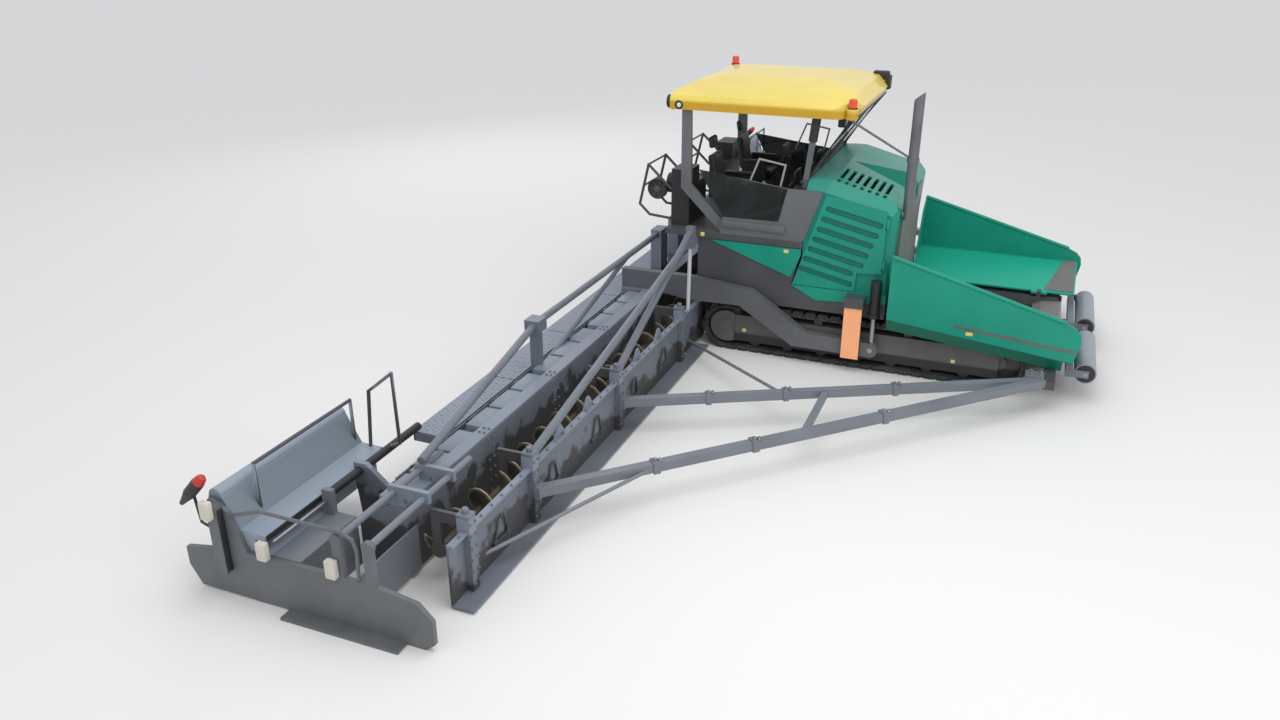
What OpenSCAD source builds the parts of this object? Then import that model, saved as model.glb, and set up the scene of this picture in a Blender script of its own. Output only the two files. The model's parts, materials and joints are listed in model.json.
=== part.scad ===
// Tracked asphalt paver with a very wide bolt-on screed
// Millimetres, +X forward, +Y left, +Z up, standing on its tracks at z = 0

/* [Overall] */
// Idler axle to the front faces of the push rollers
nose_l = 1240; // [1100:10:1400]
// Drive sprocket axle to the tail of the end gates
rear_reach = 3090; // [2900:10:3300]
// Paving width between the inner faces of the two end gates
paving_w = 18200; // [16000:50:20000]
// Width over the two tracks
track_span = 3000; // [2800:10:3200]
// Height of the platform floor
floor_z = 1810; // [1700:5:1900]
// Height of the roof's underside above the platform floor
cab_h = 1750; // [1600:10:1950]

/* [Tracks] */
// Width of one track
track_w = 400; // [350:10:450]
// Radius of the track round its sprocket, over the pads
track_r = 370; // [340:5:400]
// Drive sprocket axle to idler axle
wheelbase = 3950; // [3600:10:4300]
// Thickness of the chain belt under the pads
belt_t = 45; // [35:1:55]
// Height of the shoe pads
pad_t = 40; // [25:1:50]
// Number of shoe pads round one track
pad_count = 54; // [40:2:60]
// Number of bottom rollers in one track frame
roller_count = 7; // [5:1:8]

/* [Chassis] */
// Thickness of the chassis side plates
plate_t = 40; // [30:1:50]
// Height of the conveyor floor
lane_z = 450; // [420:5:480]
// Clear height of the conveyor tunnel
lane_h = 430; // [380:5:480]
// Distance between slat bars of the conveyor
slat_pitch = 220; // [180:5:300]

/* [Hopper] */
// Height of the hopper wall at its rear
hopper_rear_z = 1830; // [1700:10:2000]
// Height of the hopper wall at its front
hopper_front_z = 1180; // [1050:10:1300]
// Thickness of the hopper plates
hopper_t = 25; // [18:1:32]

/* [Push rollers] */
// Radius of the push rollers
push_r = 140; // [120:2:160]
// Height of the push roller axis
push_z = 450; // [420:2:480]

/* [Hood] */
// Thickness of the hood's skin
skin_t = 30; // [20:1:40]
// Number of louvre slots in each hood door
louvre_count = 7; // [5:1:8]
// Radius of the exhaust stack
stack_r = 70; // [60:1:80]
// Height of the top of the exhaust stack
stack_top = 3950; // [3700:10:4200]

/* [Augers] */
// Radius of the auger flights
auger_r = 225; // [200:1:250]
// Height of the auger axis
auger_z = 400; // [370:2:430]
// Length of one turn of the auger flights
auger_pitch = 420; // [360:10:500]
// Radius of the auger shaft
shaft_r = 45; // [35:1:52]
// Height of the auger shield
shield_top = 720; // [650:5:780]

/* [Braces] */
// Width of the long push beams
beam_w = 110; // [80:2:130]
// Radius of the upper brace tubes
brace_r = 48; // [35:1:60]

/* [Screed] */
// Height of the screed's front wall
wall_top = 850; // [780:5:920]
// Thickness of the sole plates
sole_t = 40; // [30:1:50]
// Height of the walkway
walk_z = 710; // [650:5:760]
// Radius of the truss tubes
truss_r = 45; // [35:1:55]
// Radius of the extension guide tubes
guide_r = 45; // [35:1:52]
// Thickness of the tow arms
arm_t = 130; // [110:2:150]

/* [Hidden] */
$fn = 32;
// Running clearance, and the gap that keeps the solids of one node apart
gap = 0.3;
front_reach = wheelbase + nose_l;
axle_x = (rear_reach - front_reach) / 2;
half_span = track_span / 2;
half_pave = paving_w / 2;
roof_z = floor_z + cab_h;
cw = half_span - track_w - 20;
belt_r = track_r - pad_t;
inner_r = belt_r - belt_t;
roller_x = front_reach - push_r;
beam_x = roller_x - push_r - 65;
chassis_front = front_reach - 490;
lane_top = lane_z + lane_h;
hinge_y = cw - 240;
hinge_z = 2 * track_r - 20;
lane_y = hinge_y - 60;
body_y = half_span - 20;
hood_y = half_span - 40;
hood_front = 2330;
sill_z = 1160;
hopper_x = hood_front + 70;
hopper_end = front_reach - 270;
hopper_y = half_span + 250;
hinge_lug_x = [hopper_x + 250, hopper_end - 570];
door_hinge_x = hood_front - 70;
door_hinge_y = hood_y + 34;
stack_x = hood_front + 130;
stack_y = -half_span + 350;
shield_x = -500;
auger_x = shield_x - 75 - auger_r;
screed_x = auger_x - auger_r - 95;
screed_rear = screed_x - 560;
box_z = sole_t + 30 + gap;
post_top = shield_top + 140;
center_y = half_span + 250;
shield_end = half_pave - 540;
auger_end = half_pave - 860;
wing_end = half_pave - 820;
ext_in = half_pave - 1870;
walk_end = ext_in - 500;
base_y = half_pave - 1380;
post_in = half_span + 800;
post_out = half_pave - 2150;
post_y = [post_in, (post_in + post_out) / 2, post_out, auger_end];
truss_y = post_y[1] + 150;
frame_y = [base_y + 60, base_y + 510];
rail_x = [screed_x - 140, screed_x + 200];
rail_z = wall_top + 100;
guide_x = screed_rear - 340;
guide_z = walk_z + guide_r + 20;
tow_x = hood_front - 130;
tow_z = 370;
arm_y = half_span + 30;
tow_y = arm_y + arm_t / 2;
tow_out = arm_y + arm_t + 40;
teal = [0.13, 0.47, 0.43];
grey = [0.27, 0.26, 0.25];
slate = [0.36, 0.40, 0.45];
dark = [0.09, 0.09, 0.1];
steel = [0.62, 0.62, 0.62];
amber = [0.93, 0.68, 0.12];

// Which node to show

module from_axle() {
  translate([axle_x, 0, 0]) children();
}

module both_sides() {
  children();
  mirror([0, 1, 0]) children();
}

// Everything is drawn on the left and mirrored to the right
module on_side(side) {
  if (side > 0) children();
  else mirror([0, 1, 0]) children();
}

// An outline in x and z drawn out from y0 to y1
module slab(y0, y1) {
  translate([0, y1, 0]) rotate([90, 0, 0]) linear_extrude(y1 - y0) children();
}

// An outline in y and z drawn out from x0 to x1
module run(x0, x1) {
  translate([x0, 0, 0]) rotate([90, 0, 90]) linear_extrude(x1 - x0) children();
}

// A block between two corners
module block(a, b) {
  translate(a) cube(b - a);
}

// The same block grown by the gap, to cut its neighbours back
module cut_block(a, b) {
  block(a - [gap, gap, gap], b + [gap, gap, gap]);
}

// A round bar between two points
module bar(p, q, r) {
  d = q - p;
  translate(p) rotate([0, acos(d.z / norm(d)), atan2(d.y, d.x)]) cylinder(r = r, h = norm(d));
}

// A bent tube through a list of points
module tube_path(pts, r) {
  for (i = [0 : len(pts) - 2])
    bar(pts[i], pts[i + 1], r);
  for (i = [1 : len(pts) - 2])
    translate(pts[i]) sphere(r = r + 1);
}

// A square beam between two points
module beam(p, q, w) {
  d = q - p;
  translate(p) rotate([0, acos(d.z / norm(d)), atan2(d.y, d.x)])
    translate([-w / 2, -w / 2, 0]) cube([w, w, norm(d)]);
}

// A cylinder along y from y0 to y1 at a point in x and z
module disc(x, z, r, y0, y1) {
  translate([x, y1, z]) rotate([90, 0, 0]) cylinder(r = r, h = y1 - y0);
}

// A cylinder along x from x0 to x1 at a point in y and z
module rod(y, z, r, x0, x1) {
  translate([x0, y, z]) rotate([0, 90, 0]) cylinder(r = r, h = x1 - x0);
}

// A rectangle with round corners, a by b, drawn from its lower left corner
module round_rect(a, b, r) {
  translate([r, 0]) square([a - 2 * r, b]);
  translate([0, r]) square([a, b - 2 * r]);
  for (x = [r, a - r], y = [r, b - r])
    translate([x, y]) circle(r);
}

module chassis() {
  low = hinge_z - 70;
  color(grey) from_axle() difference() {
    union() {
      both_sides() slab(cw - plate_t, cw)
        polygon([[-560, 330], [-250, 250], [chassis_front - 140, 250], [chassis_front, 330],
          [chassis_front, 610], [chassis_front - 60, low], [hopper_x - 10, low], [hopper_x - 10, 1150],
          [-260, 1150], [-300, 760], [-560, 700]]);
      block([-300, -cw + 5, lane_z - 30], [chassis_front - 60, cw - 5, lane_z]);
      block([-300, -60, lane_z - 5], [hopper_x - 20, 60, lane_top + 5]);
      block([hopper_x - 25, -60, lane_z - 5], [chassis_front - 60, 60, lane_z + 90]);
      block([-300, -cw + 5, lane_top], [hopper_x - 10, cw - 5, lane_top + 40]);
      both_sides() block([-300, lane_y, lane_z - 5], [hopper_x - 20, lane_y + 40, lane_top + 5]);
      both_sides() block([hopper_x - 25, lane_y, lane_z - 5], [chassis_front - 60, lane_y + 40, low]);
      both_sides() block([hopper_x - 25, lane_y, low - 30], [chassis_front - 60, cw - 5, low]);
      block([chassis_front - 70, -cw + 5, 260], [chassis_front, cw - 5, lane_z + 90]);
      block([-300, -cw + 5, lane_top], [-260, cw - 5, floor_z - 90]);
      both_sides() for (x = hinge_lug_x) {
        block([x - 30, hinge_y - 40, low - 10], [x + 30, hinge_y + 40, hinge_z]);
        rod(hinge_y, hinge_z, 45, x - 30, x + 30);
        rod(hinge_y, hinge_z, 25, x - 120, x + 120);
      }
      block([chassis_front - 10, -110, push_z - 95], [beam_x + 60, 110, push_z - 65]);
      block([chassis_front - 10, -110, push_z + 65], [beam_x + 60, 110, push_z + 95]);
      translate([beam_x, 0, push_z - 95]) cylinder(r = 30, h = 190);
      both_sides() block([chassis_front - 160, cw - 10, 350], [chassis_front - 20, half_span + 560, 470]);
      both_sides() block([chassis_front - 10, hinge_y - 140, 235], [chassis_front + 95, hinge_y - 100, 365]);
    }
    both_sides() disc(chassis_front + 40, 295, 30, hinge_y - 150, hinge_y - 90);
  }
}

// Points of the track's outline, s along the loop and r out from the belt's middle
function loop_pt(s, r) = let (w = wheelbase, a = PI * belt_r)
  s < w ? [s, track_r - r] :
  s < w + a ? let (t = (s - w) / a * 180) [w + r * sin(t), track_r - r * cos(t)] :
  s < 2 * w + a ? [2 * w + a - s, track_r + r] :
  let (t = (s - 2 * w - a) / a * 180) [-r * sin(t), track_r + r * cos(t)];

module tracks() {
  pitch = (2 * wheelbase + 2 * PI * belt_r) / pad_count;
  outline = [for (i = [0 : pad_count - 1]) for (k = [[0.04, belt_r], [0.09, track_r],
    [0.85, track_r], [0.9, belt_r]]) loop_pt((i + k[0]) * pitch, k[1])];
  color(dark) from_axle() both_sides() difference() {
    slab(half_span - track_w, half_span) polygon(outline);
    slab(half_span - track_w - 10, half_span + 10) translate([0, track_r - inner_r])
      square([wheelbase, 2 * inner_r]);
    disc(0, track_r, inner_r, half_span - track_w - 10, half_span + 10);
    disc(wheelbase, track_r, inner_r, half_span - track_w - 10, half_span + 10);
  }
}

module track_frames() {
  mid = half_span - track_w / 2;
  low = track_r - inner_r;
  color(grey) from_axle() both_sides() {
    disc(0, track_r, inner_r - gap, mid - 80, mid + 80);
    disc(0, track_r, 120, mid - 80, half_span - 2);
    // The half-round cover of the final drive
    intersection() {
      disc(0, track_r, inner_r - 40, mid - 90, half_span - 14);
      block([-400, 0, 0], [inner_r * 0.45, half_span, 900]);
    }
    disc(wheelbase, track_r, inner_r - gap, mid - 60, mid + 60);
    disc(wheelbase, track_r, 100, mid - 120, mid + 120);
    block([0, mid - 90, low + 60], [wheelbase, mid + 160, track_r + 190]);
    for (i = [0 : roller_count - 1])
      disc(450 + i * (wheelbase - 900) / (roller_count - 1), low + gap + 80, 80, mid - 110, mid + 150);
    for (x = [wheelbase * 0.35, wheelbase * 0.68]) {
      disc(x, track_r + inner_r - gap - 60, 60, mid - 100, mid + 100);
      block([x - 30, mid - 60, track_r + 100], [x + 30, mid + 60, track_r + inner_r - 60]);
    }
    for (x = [600, wheelbase - 600])
      block([x - 120, cw, track_r - 60], [x + 120, mid, track_r + 90]);
  }
}

module conveyor() {
  color(grey) from_axle() both_sides() {
    block([-290, 62, lane_z], [chassis_front - 75, lane_y - 2, lane_z + 15]);
    for (x = [-240 : slat_pitch : chassis_front - 130])
      block([x, 70, lane_z + 10], [x + 50, lane_y - 10, lane_z + 45]);
    for (y = [90, lane_y / 2, lane_y - 60])
      block([-280, y, lane_z + 10], [chassis_front - 80, y + 30, lane_z + 35]);
  }
}

module engine() {
  color(dark) from_axle() block([1250, -600, lane_top + 40], [hood_front - 150, 600, 1950]);
}

module body_sides() {
  color(grey) from_axle() both_sides() {
    slab(cw, body_y)
      polygon([[-480, floor_z - 90], [-480, 1000], [-330, track_r * 2 + 60], [955, track_r * 2 + 60],
        [955, sill_z - 5], [1040, floor_z - 310], [1085, floor_z - 90]]);
    // The strip under the skirt
    slab(cw, body_y)
      polygon([[955 + gap, track_r * 2 + 60], [hood_front, track_r * 2 + 60], [hood_front, 1029], [2060, 1014],
        [1333, 964], [955 + gap, sill_z - 1]]);
  }
}

module side_trim() {
  color(teal) from_axle() both_sides() {
    slab(body_y, half_span - 4)
      polygon([[-290, floor_z - 110], [945, floor_z - 540], [1075, floor_z - 200], [1075, floor_z - 110]]);
    slab(cw, half_span - 6) polygon([[962, sill_z], [1333, 965], [2060, 1015], [hood_front, 1030],
      [hood_front, sill_z]]);
  }
}

// Outside of the hood, drawn in by t on every face but the floor
module hood_shape(t) {
  intersection() {
    slab(-hood_y + t, hood_y - t)
      polygon([[965 + t, sill_z - t], [1090 + t, floor_z - 310], [1090 + t, 2690 - t], [1420, 2720 - t],
        [hood_front - 40 - t, 2490 - t], [hood_front + 55 - t, 2330 - t], [hood_front - t, 1500],
        [hood_front - t, sill_z - t]]);
    // The shoulders follow the falling top
    translate([1400, 0, 2540]) rotate([0, 14.8, 0]) run(-900, 1300)
      polygon([[-hood_y + t, -2200], [hood_y - t, -2200], [hood_y - t, -t], [hood_y - 150 - t, 165 - t],
        [0, 200 - t], [-hood_y + 150 + t, 165 - t], [-hood_y + t, -t]]);
    run(900, 2500) polygon([[-hood_y + t, 1000], [hood_y - t, 1000], [hood_y - t, 2550 - t],
      [hood_y - 150 - t, 2705 - t], [0, 2730 - t], [-hood_y + 150 + t, 2705 - t], [-hood_y + t, 2550 - t]]);
    translate([0, 0, 1000]) linear_extrude(1900)
      polygon([[900, -hood_y + t], [hood_front - 30 - t, -hood_y + t], [hood_front + 60 - t, -hood_y + 110 + t],
        [hood_front + 60 - t, hood_y - 110 - t], [hood_front - 30 - t, hood_y - t], [900, hood_y - t]]);
  }
}

// The sight channel cut into the hood's top, widening to the front
module hood_channel(t) {
  intersection() {
    translate([0, 0, 2000]) linear_extrude(900)
      polygon([[1480 - 2 * t, 0], [2600, 640 + t], [2600, -640 - t]]);
    slab(-900, 900) polygon([[1300, 2800], [1300, 2790 - 1.2 * t], [2600, 2010 - 1.2 * t], [2600, 2800]]);
  }
}

// Outline of a hood door in x and z, drawn in by t
module door_outline(t) {
  polygon([[975 + t, sill_z + 10 + t], [1385 + t, 2530 - t], [hood_front - 90 - t, 2355 - t],
    [hood_front - 90 - t, 1470 + t], [hood_front - 440 - t, 1450 + t], [hood_front - 450 - t, sill_z + 10 + t]]);
}

module hood() {
  color(teal) from_axle() difference() {
    union() {
      difference() {
        hood_shape(0);
        hood_channel(0);
      }
      both_sides() for (z = [1560, 2150]) {
        translate([door_hinge_x, door_hinge_y, z]) cylinder(r = 12, h = 120);
        block([door_hinge_x - 12, hood_y - 10, z - 40], [door_hinge_x + 12, door_hinge_y + 12, z]);
      }
    }
    difference() {
      hood_shape(skin_t);
      hood_channel(skin_t);
    }
    both_sides() slab(hood_y - 60, hood_y + 5) door_outline(70);
    mirror([0, 1, 0]) for (i = [0 : 6], k = [0, 1])
      block([1470 + i * 108, hood_y - (k == 0 ? 920 : 290), 2350], [1522 + i * 108, hood_y - (k == 0 ? 350 : 150), 2760]);
  }
}

module hood_door(side) {
  color(teal) from_axle() on_side(side) difference() {
    union() {
      slab(hood_y + 0.5, hood_y + 36) door_outline(0);
      for (z = [1560, 2150]) {
        translate([door_hinge_x, door_hinge_y, z + 1]) cylinder(r = 24, h = 118);
        block([door_hinge_x - 40, hood_y + 2, z + 1], [door_hinge_x, hood_y + 36, z + 119]);
      }
    }
    for (z = [1560, 2150])
      translate([door_hinge_x, door_hinge_y, z - 5]) cylinder(r = 12 + gap, h = 130);
    for (z = [1560, 2150])
      block([door_hinge_x - 30, hood_y - 5, z - 42], [door_hinge_x + 30, hood_y + 60, z + 1]);
    for (i = [0 : louvre_count - 1]) {
      f = i / (louvre_count - 1);
      z = 1400 + 900 * f;
      x1 = z < 1690 ? hood_front - 530 : hood_front - 500 + 330 * f;
      slab(hood_y + 10, hood_y + 40) translate([1100 + 330 * f, z + 28]) rotate(-12.5) {
        translate([0, -41]) square([(x1 - 1100 - 330 * f) * 1.024, 82]);
        circle(41);
        translate([(x1 - 1100 - 330 * f) * 1.024, 0]) circle(41);
      }
    }
  }
}

module exhaust() {
  color(dark) from_axle() {
    difference() {
      union() {
        rod(stack_y, 2265, stack_r - 12, hood_front + 55.3, stack_x);
        translate([stack_x, stack_y, 2205]) cylinder(r = stack_r, h = stack_top - 2205);
        translate([stack_x, stack_y, 3000]) cylinder(r = stack_r + 14, h = 60);
      }
      translate([stack_x, stack_y, 2900]) cylinder(r = stack_r - 12, h = stack_top - 2800);
      translate([stack_x - stack_r, stack_y - 200, stack_top - 120]) rotate([0, -38, 0]) cube([400, 400, 400]);
    }
    difference() {
      bar([1480, -half_span + 180, roof_z + 40], [stack_x, stack_y, 3030], 16);
      roof_shell();
      translate([stack_x, stack_y, 2900]) cylinder(r = stack_r - 4, h = 300);
    }
  }
}

module platform() {
  color(grey) from_axle() {
    block([-1000, -half_span, floor_z - 90], [1085, half_span, floor_z]);
    block([1010, -half_span + 130, floor_z - 10], [1085, half_span - 130, floor_z + 880]);
  }
}

module platform_sides() {
  color(grey) from_axle() both_sides() {
    slab(hood_y + 0.5, half_span - 4) polygon([[-150, floor_z], [1080, floor_z], [1110, floor_z + 50],
      [1340, floor_z + 750], [830, floor_z + 750], [720, floor_z + 262], [-110, floor_z + 250],
      [-150, floor_z + 100]]);
    slab(half_span - 110, half_span - 54) polygon([[-780, roof_z], [-640, roof_z], [-620, floor_z + 670],
      [60, floor_z], [-150, floor_z], [-780, floor_z + 610]]);
    slab(half_span - 210, half_span - 130) polygon([[1012, floor_z + 880], [1084, floor_z + 880], [1180, roof_z],
      [1100, roof_z]]);
  }
}

// Outline of the tinted side panel
module tinted_outline() {
  polygon([[-490, floor_z + 910], [-110, floor_z + 250], [716, floor_z + 262], [826, floor_z + 750]]);
}

module side_panels() {
  color(dark) from_axle() both_sides() slab(hood_y + 2, half_span - 10) tinted_outline();
}

module roof_shell() {
  intersection() {
    slab(-half_span, half_span) polygon([[-950, roof_z], [1480, roof_z], [1700, roof_z + 50],
      [1740, roof_z + 150], [1600, roof_z + 310], [1100, roof_z + 390], [300, roof_z + 420],
      [-300, roof_z + 405], [-750, roof_z + 330], [-950, roof_z + 230]]);
    run(-1000, 1800) polygon([[-half_span, roof_z], [half_span, roof_z], [half_span, roof_z + 120],
      [half_span - 40, roof_z + 195], [half_span - 350, roof_z + 290], [half_span - 800, roof_z + 385],
      [0, roof_z + 420], [-half_span + 800, roof_z + 385], [-half_span + 350, roof_z + 290],
      [-half_span + 40, roof_z + 195], [-half_span, roof_z + 120]]);
    translate([0, 0, roof_z - 10]) linear_extrude(500) {
      translate([-950, -half_span]) square([1500, track_span]);
      translate([-100, -half_span]) round_rect(1840, track_span, 420);
    }
  }
}

module roof() {
  color(amber) from_axle() {
    roof_shell();
    translate([-840, half_span - 180, roof_z + 20]) cylinder(r = 65, h = 270);
    translate([1635, -half_span + 55, roof_z + 10]) cylinder(r = 80, h = 140);
  }
}

module windshield() {
  color([0.7, 0.8, 0.85]) from_axle() slab(-half_span + 240, half_span - 240)
    polygon([[1030, floor_z + 880], [1050, floor_z + 880], [1640, roof_z], [1620, roof_z]]);
}

module seat_frames() {
  color(dark) from_axle() both_sides() translate([-200, 720, floor_z]) {
    cylinder(r = 150, h = 40);
    cylinder(r = 70, h = 380);
    block([-230, -230, 360], [280, 230, 400]);
    both_sides() block([-200, 250, 360], [200, 300, 640]);
    both_sides() block([-200, 220, 360], [200, 260, 400]);
  }
}

module seat_pads() {
  color(dark) from_axle() both_sides() translate([-200, 720, floor_z]) {
    block([-220, -240, 400], [290, 240, 520]);
    translate([-200, 0, 480]) rotate([0, -10, 0]) {
      block([-70, -230, 0], [50, 230, 560]);
      block([-50, -60, 540], [20, 60, 620]);
      block([-60, -150, 600], [40, 150, 800]);
    }
  }
}

module console() {
  color(dark) from_axle() {
    slab(-half_span + 300, half_span - 300) polygon([[720, floor_z + 440], [1010, floor_z + 390],
      [1010, floor_z + 750], [760, floor_z + 610]]);
    block([800, -150, floor_z], [1010, 150, floor_z + 490]);
    block([420, -60, floor_z], [480, 60, floor_z + 890]);
    block([380, -160, floor_z + 830], [430, 160, floor_z + 1070]);
    both_sides() block([-980, 500, floor_z], [-700, half_span - 640, floor_z + 590]);
    both_sides() block([-980, half_span - 650, floor_z], [-700, half_span - 200, floor_z + 840]);
    rod(-half_span + 470, floor_z + 570, 150, -1110, -975);
  }
}

module handrails() {
  color(dark) from_axle() both_sides() {
    for (y = [540, half_span - 230])
      tube_path([[-994, y, floor_z + 530], [-1360, y, floor_z + 870], [-1500, y, floor_z + 260],
        [-1340, y, floor_z + 110], [-982.5, y, floor_z + 80]], 20);
    bar([-1360, 545, floor_z + 870], [-1360, half_span - 235, floor_z + 872], 15);
    bar([-1437, 545, floor_z + 540], [-1437, half_span - 235, floor_z + 542], 15);
    tube_path([[225, hood_y - 12.1, floor_z + 700], [390, hood_y - 12.1, floor_z + 1130],
      [770, hood_y - 12.1, floor_z + 1070], [700, hood_y - 12.1, floor_z + 700]], 14);
  }
}

module lamps() {
  color([0.9, 0.25, 0.08]) from_axle() {
    translate([-840, half_span - 180, roof_z + 290]) cylinder(r = 55, h = 120);
    translate([1635, -half_span + 55, roof_z + 150]) cylinder(r = 55, h = 120);
    both_sides() rod(half_span - 280, roof_z + 60, 90, -1050, -950);
  }
}

module hopper_wall() {
  color(grey) from_axle() {
    difference() {
      slab(-1000, 1000) polygon([[hood_front + 15, lane_top + 40], [hood_front + 55, lane_top + 40],
        [hood_front + 55, 1650], [hood_front + 64, 2290], [hood_front + 56, 2290], [hood_front + 15, 1680]]);
      block([hood_front, -500, 2130], [hood_front + 80, 500, 2400]);
    }
    block([hood_front + 0.5, -1000, lane_top + 40], [hood_front + 20, 1000, lane_top + 80]);
    // The apron at the hopper's mouth
    slab(-lane_y, lane_y) polygon([[chassis_front - 420, lane_z + 90], [chassis_front - 300, lane_z + 150],
      [chassis_front - 40, lane_z + 180], [chassis_front - 11, lane_z + 160], [chassis_front - 11, lane_z + 90]]);
  }
}

module hopper(side) {
  crease = hinge_z + 210;
  drop = atan2(270, hopper_end - hopper_x - 50);
  outer = hopper_y + hopper_t;
  color(teal) from_axle() on_side(side) difference() {
    union() {
      slab(hopper_y, outer) polygon([[hopper_x, crease - 10], [hopper_x, hopper_rear_z],
        [hopper_end - 220, hopper_front_z + 20], [hopper_end - 90, hopper_front_z - 40],
        [hopper_end - 20, hopper_front_z - 120], [hopper_end, hopper_front_z - 230], [hopper_end - 60, 640]]);
      bar([hopper_x + 4, hopper_y + hopper_t / 2, hopper_rear_z],
        [hopper_end - 220, hopper_y + hopper_t / 2, hopper_front_z + 20], 28);
      run(hopper_x, hopper_end - 60) polygon([[hinge_y + 20, hinge_z - 12], [hopper_y + 5, hinge_z + 265],
        [hopper_y + 5, hinge_z + 265 + hopper_t], [hinge_y + 20, hinge_z + 14]]);
      run(hopper_x, hopper_x + 25) polygon([[hinge_y + 60, hinge_z], [hopper_y + 10, hinge_z + 270],
        [hopper_y + 10, hopper_rear_z], [hopper_y - 280, hopper_rear_z - 160], [hinge_y + 160, hinge_z + 240]]);
      intersection() {
        translate([hopper_x, 0, crease]) rotate([0, drop, 0])
          run(-60, hopper_end - hopper_x + 80) polygon([[hopper_y, 20], [outer, 20], [outer, -10],
            [hopper_y - 80, -190], [hopper_y - 100, -180], [hopper_y, -5]]);
        block([hopper_x, 0, 400], [hopper_end - 180, hopper_y + 750, 2000]);
      }
      for (x = hinge_lug_x, k = [-75, 75])
        rod(hinge_y, hinge_z, 45, x + k - 42, x + k + 42);
      for (x = hinge_lug_x, k = [-75, 75])
        block([x + k - 42, hinge_y, hinge_z - 12], [x + k + 42, hinge_y + 60, hinge_z + 20]);
    }
    for (x = hinge_lug_x)
      rod(hinge_y, hinge_z, 25 + gap, x - 125, x + 125);
    for (x = hinge_lug_x)
      rod(hinge_y, hinge_z, 50, x - 33, x + 33);
  }
}

module push_beam() {
  color(slate) from_axle() difference() {
    union() {
      block([beam_x - 45, -half_span - 100, push_z - 60], [beam_x + 45, half_span + 100, push_z + 60]);
      both_sides() for (y = [215, half_span + 75])
        block([beam_x, y, push_z - 50], [roller_x + 45, y + 30, push_z + 50]);
    }
    translate([beam_x, 0, push_z - 100]) cylinder(r = 30 + gap, h = 200);
    both_sides() disc(roller_x, push_z, 30 + gap, 200, half_span + 120);
  }
}

module push_roller(side) {
  color(slate) from_axle() on_side(side) {
    disc(roller_x, push_z, push_r, 255, half_span + 65);
    disc(roller_x, push_z, 30, 216, half_span + 104);
  }
}

module tow_rams() {
  color(grey) from_axle() both_sides() difference() {
    union() {
      translate([tow_x, tow_y, 880]) cylinder(r = 75, h = 520);
      translate([tow_x, tow_y, 860]) cylinder(r = 88, h = 60);
      block([tow_x - 50, half_span - 6, 1050], [tow_x + 50, tow_y, 1150]);
    }
    translate([tow_x, tow_y, 850]) cylinder(r = 32 + gap, h = 540);
  }
}

module tow_guides() {
  color([0.85, 0.3, 0.1]) from_axle() both_sides() {
    block([tow_x - 400, tow_out, 230], [tow_x - 150, tow_out + 22, 1010]);
    block([tow_x - 410, half_span - 6, 1000], [tow_x - 140, tow_out + 40, 1145]);
  }
}

module tow_blocks() {
  color(steel) from_axle() both_sides() {
    translate([tow_x, tow_y, tow_z]) cylinder(r = 32, h = 850);
    disc(tow_x, tow_z, 85, tow_y - 35, tow_y + 35);
    disc(tow_x, tow_z, 35, arm_y + 1, arm_y + arm_t - 1);
  }
}

module tow_arms() {
  color(grey) from_axle() both_sides() difference() {
    union() {
      slab(arm_y, arm_y + arm_t) polygon([[tow_x, 475], [1250, 500], [430, 1040], [-560, 1140],
        [screed_rear + 40, 1140], [screed_rear + 40, wall_top], [screed_x + 10, wall_top],
        [-560, shield_top + 50], [230, shield_top + 70], [1060, 270], [tow_x, 265]]);
      disc(tow_x, tow_z, 105, arm_y, arm_y + arm_t);
    }
    slab(tow_y - 40, tow_y + 40) translate([tow_x - 140, 200]) square([300, 400]);
    disc(tow_x, tow_z, 35 + gap, arm_y - 5, arm_y + arm_t + 5);
  }
}

module auger_supports() {
  color(grey) from_axle() {
    block([auger_x - 170, -250, auger_z - 200], [auger_x + 170, 250, auger_z + 230]);
    block([auger_x + 100, -60, lane_z], [-300, 60, auger_z + 220]);
    both_sides() for (y = post_y) difference() {
      union() {
        block([auger_x - 50, y - 20, shield_top + 20], [shield_x - 40, y + 20, post_top]);
        block([auger_x - 50, y - 20, auger_z], [auger_x + 50, y + 20, post_top]);
        disc(auger_x, auger_z, shaft_r + 40, y - 20, y + 20);
      }
      disc(auger_x, auger_z, shaft_r + gap, y - 30, y + 30);
    }
  }
}

// Points of one flight, a ribbon wound round the shaft
module flight(y0, y1) {
  steps = ceil((y1 - y0) / auger_pitch * 16);
  ring = [for (i = [0 : steps]) let (a = 360 / 16 * i, y = y0 + (y1 - y0 - 16) * i / steps)
    each [[sin(a) * (shaft_r - 8), y, cos(a) * (shaft_r - 8)], [sin(a) * auger_r, y, cos(a) * auger_r],
      [sin(a) * auger_r, y + 16, cos(a) * auger_r], [sin(a) * (shaft_r - 8), y + 16, cos(a) * (shaft_r - 8)]]];
  sides = [for (i = [0 : steps - 1], k = [0 : 3]) let (a = 4 * i + k, b = 4 * i + (k + 1) % 4)
    each [[a, b, b + 4], [a, b + 4, a + 4]]];
  polyhedron(ring, concat(sides, [[3, 2, 1, 0]], [[4 * steps, 4 * steps + 1, 4 * steps + 2, 4 * steps + 3]]));
}

module auger(side) {
  ends = concat([300], post_y);
  color(grey) from_axle() on_side(side) translate([auger_x, 0, auger_z]) {
    disc(0, 0, shaft_r, 252, auger_end + 20);
    for (i = [0 : 3])
      flight(ends[i] + (i == 0 ? 0 : 60), ends[i + 1] - 60);
  }
}

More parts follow.
